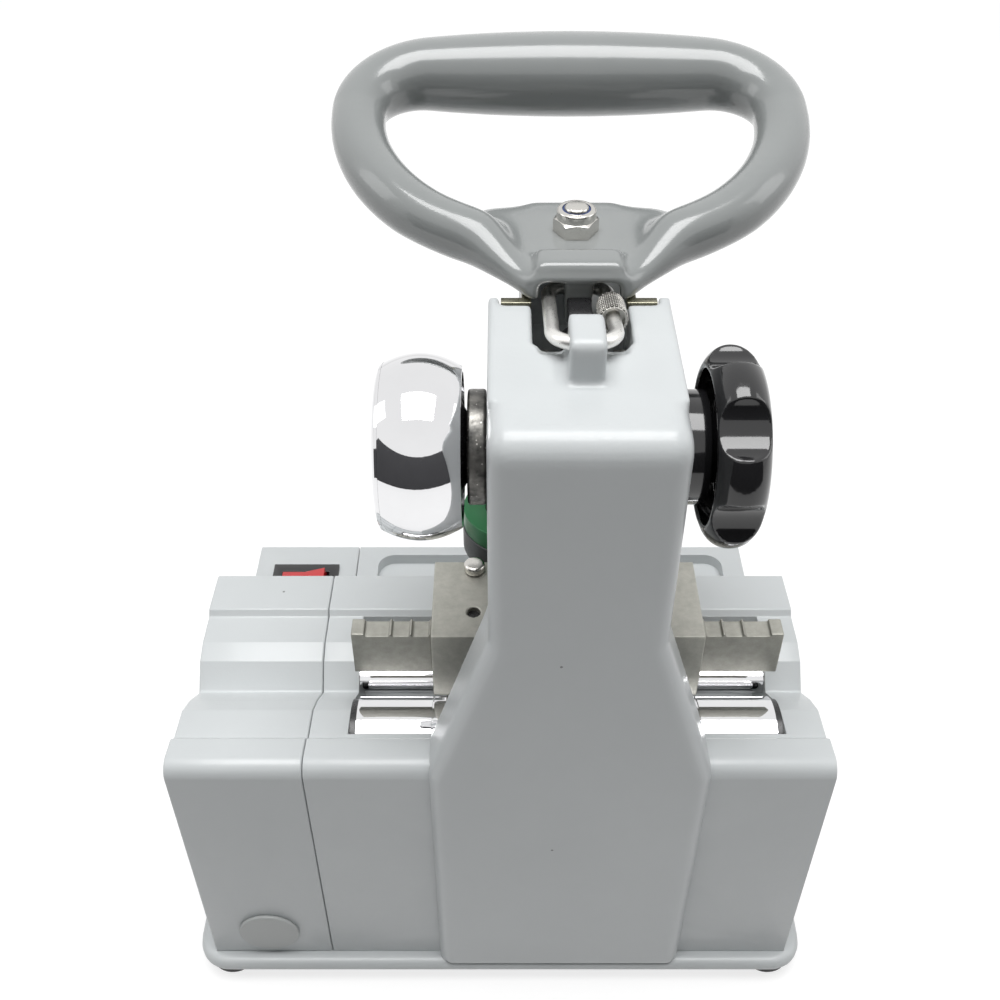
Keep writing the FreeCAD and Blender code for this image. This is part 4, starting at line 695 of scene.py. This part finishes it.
# The side arms take a copy of the nickel at four fifths of its brightness: painted shade on the arms'
# faces.
nickel_painted_shade = finish(
    "nickel_painted_shade", colour=(0.375, 0.370, 0.332), shade=(0.300, 0.296, 0.266), pit=(0.10, 0.10, 0.09),
    metallic=0.75, roughness=(0.40, 0.55), bump=0.05, grain=1500.0, cloud=300.0, pits=(110.0, 0.035, 0.35))
soft_casting("carriage_block", nickel, voxel=0.0005, passes=2, keep=0.4)
soft_casting("side_arms", nickel_painted_shade, voxel=0.00035, passes=2, keep=0.5)
eased("carriage_screws", bright_steel, width=0.0012, segments=4)
dress(black_satin, "set_screws")
dress(chrome, "cross_rods")

# Key table: a plated block that slides on the cross rods, moved by a steel lever with a black ball.
# It holds two vices, each a plated jaw closed by a steel clamp screw.
eased("vise_table", nickel, width=0.0005)
for jaw in ("left_jaw", "right_jaw"):
    eased(jaw, nickel, width=0.0004)
dress(bright_steel, "left_clamp", "right_clamp", "table_lever")
dress(black_gloss, "lever_ball")

# Studio: a white sheet under the machine that keeps its shadow, dark walls that only gloss shows,
# a broad soft lamp overhead with two weak ones at its sides, and the camera at the photograph's place.
FLOOR_SIZE = 8.0
FLOOR_BELOW = 0.0005
PAPER_LIT = (0.56, 0.56, 0.56)
PAPER_SEEN = (0.30, 0.30, 0.30)
PAPER_GLOW = 0.78
PAPER_ROUGHNESS = 0.9
WHITE = (1, 1, 1, 1)
SKY_LIGHT = 0.09
WALL_RADIUS = 1.15
WALL_HEIGHT = 0.80
WALL_END = -0.45
WALL_SIDES = 96
FELT = (0.075, 0.075, 0.08)
LAMP_AIM = (0, 0, 0.15)
FILL_SIDE = 1.2
CAMERA_BEHIND = 0.2544
CAMERA_HEIGHT = 0.4884
CAMERA_TILT = math.radians(48.96)
LENS = 42.84
SENSOR = 36.0


def white_to_the_eye(tree, plain, white, output):
    """Shade with one shader for the light's sake and with another where camera or mirror rays end."""
    rays = tree.nodes.new("ShaderNodeLightPath")
    share = rays.outputs["Is Camera Ray"]
    for label in ("Is Glossy Ray", "Is Transmission Ray"):
        either = tree.nodes.new("ShaderNodeMath")
        either.operation = "MAXIMUM"
        tree.links.new(share, either.inputs[0])
        tree.links.new(rays.outputs[label], either.inputs[1])
        share = either.outputs[0]
    both = tree.nodes.new("ShaderNodeMixShader")
    tree.links.new(share, both.inputs[0])
    tree.links.new(plain.outputs[0], both.inputs[1])
    tree.links.new(white.outputs[0], both.inputs[2])
    tree.links.new(both.outputs[0], output.inputs["Surface"])


bpy.ops.object.select_all(action="DESELECT")
bpy.ops.mesh.primitive_plane_add(size=FLOOR_SIZE, location=(0, 0, -FLOOR_BELOW))
floor = bpy.context.object
floor.name = "studio_floor"
paper = bpy.data.materials.new("studio_paper")
paper.use_nodes = True
tree = paper.node_tree
sheet = tree.nodes["Principled BSDF"]
sheet.inputs["Base Color"].default_value = (*PAPER_LIT, 1)
sheet.inputs["Roughness"].default_value = PAPER_ROUGHNESS
shaded = tree.nodes.new("ShaderNodeBsdfDiffuse")
shaded.inputs["Color"].default_value = (*PAPER_SEEN, 1)
glow = tree.nodes.new("ShaderNodeEmission")
glow.inputs["Strength"].default_value = PAPER_GLOW
lit = tree.nodes.new("ShaderNodeAddShader")
tree.links.new(shaded.outputs[0], lit.inputs[0])
tree.links.new(glow.outputs[0], lit.inputs[1])
white_to_the_eye(tree, sheet, lit, tree.nodes["Material Output"])
floor.data.materials.append(paper)

world = bpy.data.worlds.new("studio")
bpy.context.scene.world = world
world.use_nodes = True
tree = world.node_tree
sky = tree.nodes["Background"]
sky.inputs["Color"].default_value = WHITE
sky.inputs["Strength"].default_value = SKY_LIGHT
backdrop = tree.nodes.new("ShaderNodeBackground")
backdrop.inputs["Color"].default_value = WHITE
backdrop.inputs["Strength"].default_value = 1.0
white_to_the_eye(tree, sky, backdrop, tree.nodes["World Output"])

bpy.ops.object.select_all(action="DESELECT")
bpy.ops.mesh.primitive_cylinder_add(
    vertices=WALL_SIDES, radius=WALL_RADIUS, depth=WALL_HEIGHT, end_fill_type="NOTHING",
    location=(0, 0, WALL_HEIGHT / 2))
walls = bpy.context.object
walls.name = "studio_walls"
settle(walls)
pick_faces(walls, lambda face: face.center.y > WALL_END)
bpy.ops.mesh.delete(type="FACE")
bpy.ops.object.mode_set(mode="OBJECT")
felt = bpy.data.materials.new("dark_felt")
felt.use_nodes = True
cloth = felt.node_tree.nodes["Principled BSDF"]
cloth.inputs["Base Color"].default_value = (*FELT, 1)
cloth.inputs["Roughness"].default_value = 1.0
walls.data.materials.append(felt)
walls.visible_camera = False
walls.visible_diffuse = False
walls.visible_shadow = False


def soft_lamp(name, place, width, height, power):
    """Rectangular softbox pointed at the machine's middle."""
    bpy.ops.object.select_all(action="DESELECT")
    bpy.ops.object.light_add(type="AREA", location=place)
    lamp = bpy.context.object
    lamp.name = name
    lamp.data.shape = "RECTANGLE"
    lamp.data.size = width
    lamp.data.size_y = height
    lamp.data.energy = power
    lamp.rotation_euler = (Vector(LAMP_AIM) - Vector(place)).to_track_quat("-Z", "Y").to_euler()


soft_lamp("overhead", (0.0, -0.10, 2.6), width=2.0, height=1.5, power=72)
soft_lamp("left_fill", (-FILL_SIDE, 0.1, 0.9), width=0.5, height=0.8, power=2)
soft_lamp("right_fill", (FILL_SIDE, 0.1, 0.9), width=0.5, height=0.8, power=2)

rear_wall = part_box("base_housing")[0][1]
bpy.ops.object.camera_add(
    location=(0, rear_wall - CAMERA_BEHIND, CAMERA_HEIGHT), rotation=(CAMERA_TILT, 0, 0))
camera = bpy.context.object
camera.data.lens = LENS
camera.data.sensor_width = SENSOR
bpy.context.scene.camera = camera
bpy.context.scene.view_settings.view_transform = "Standard"
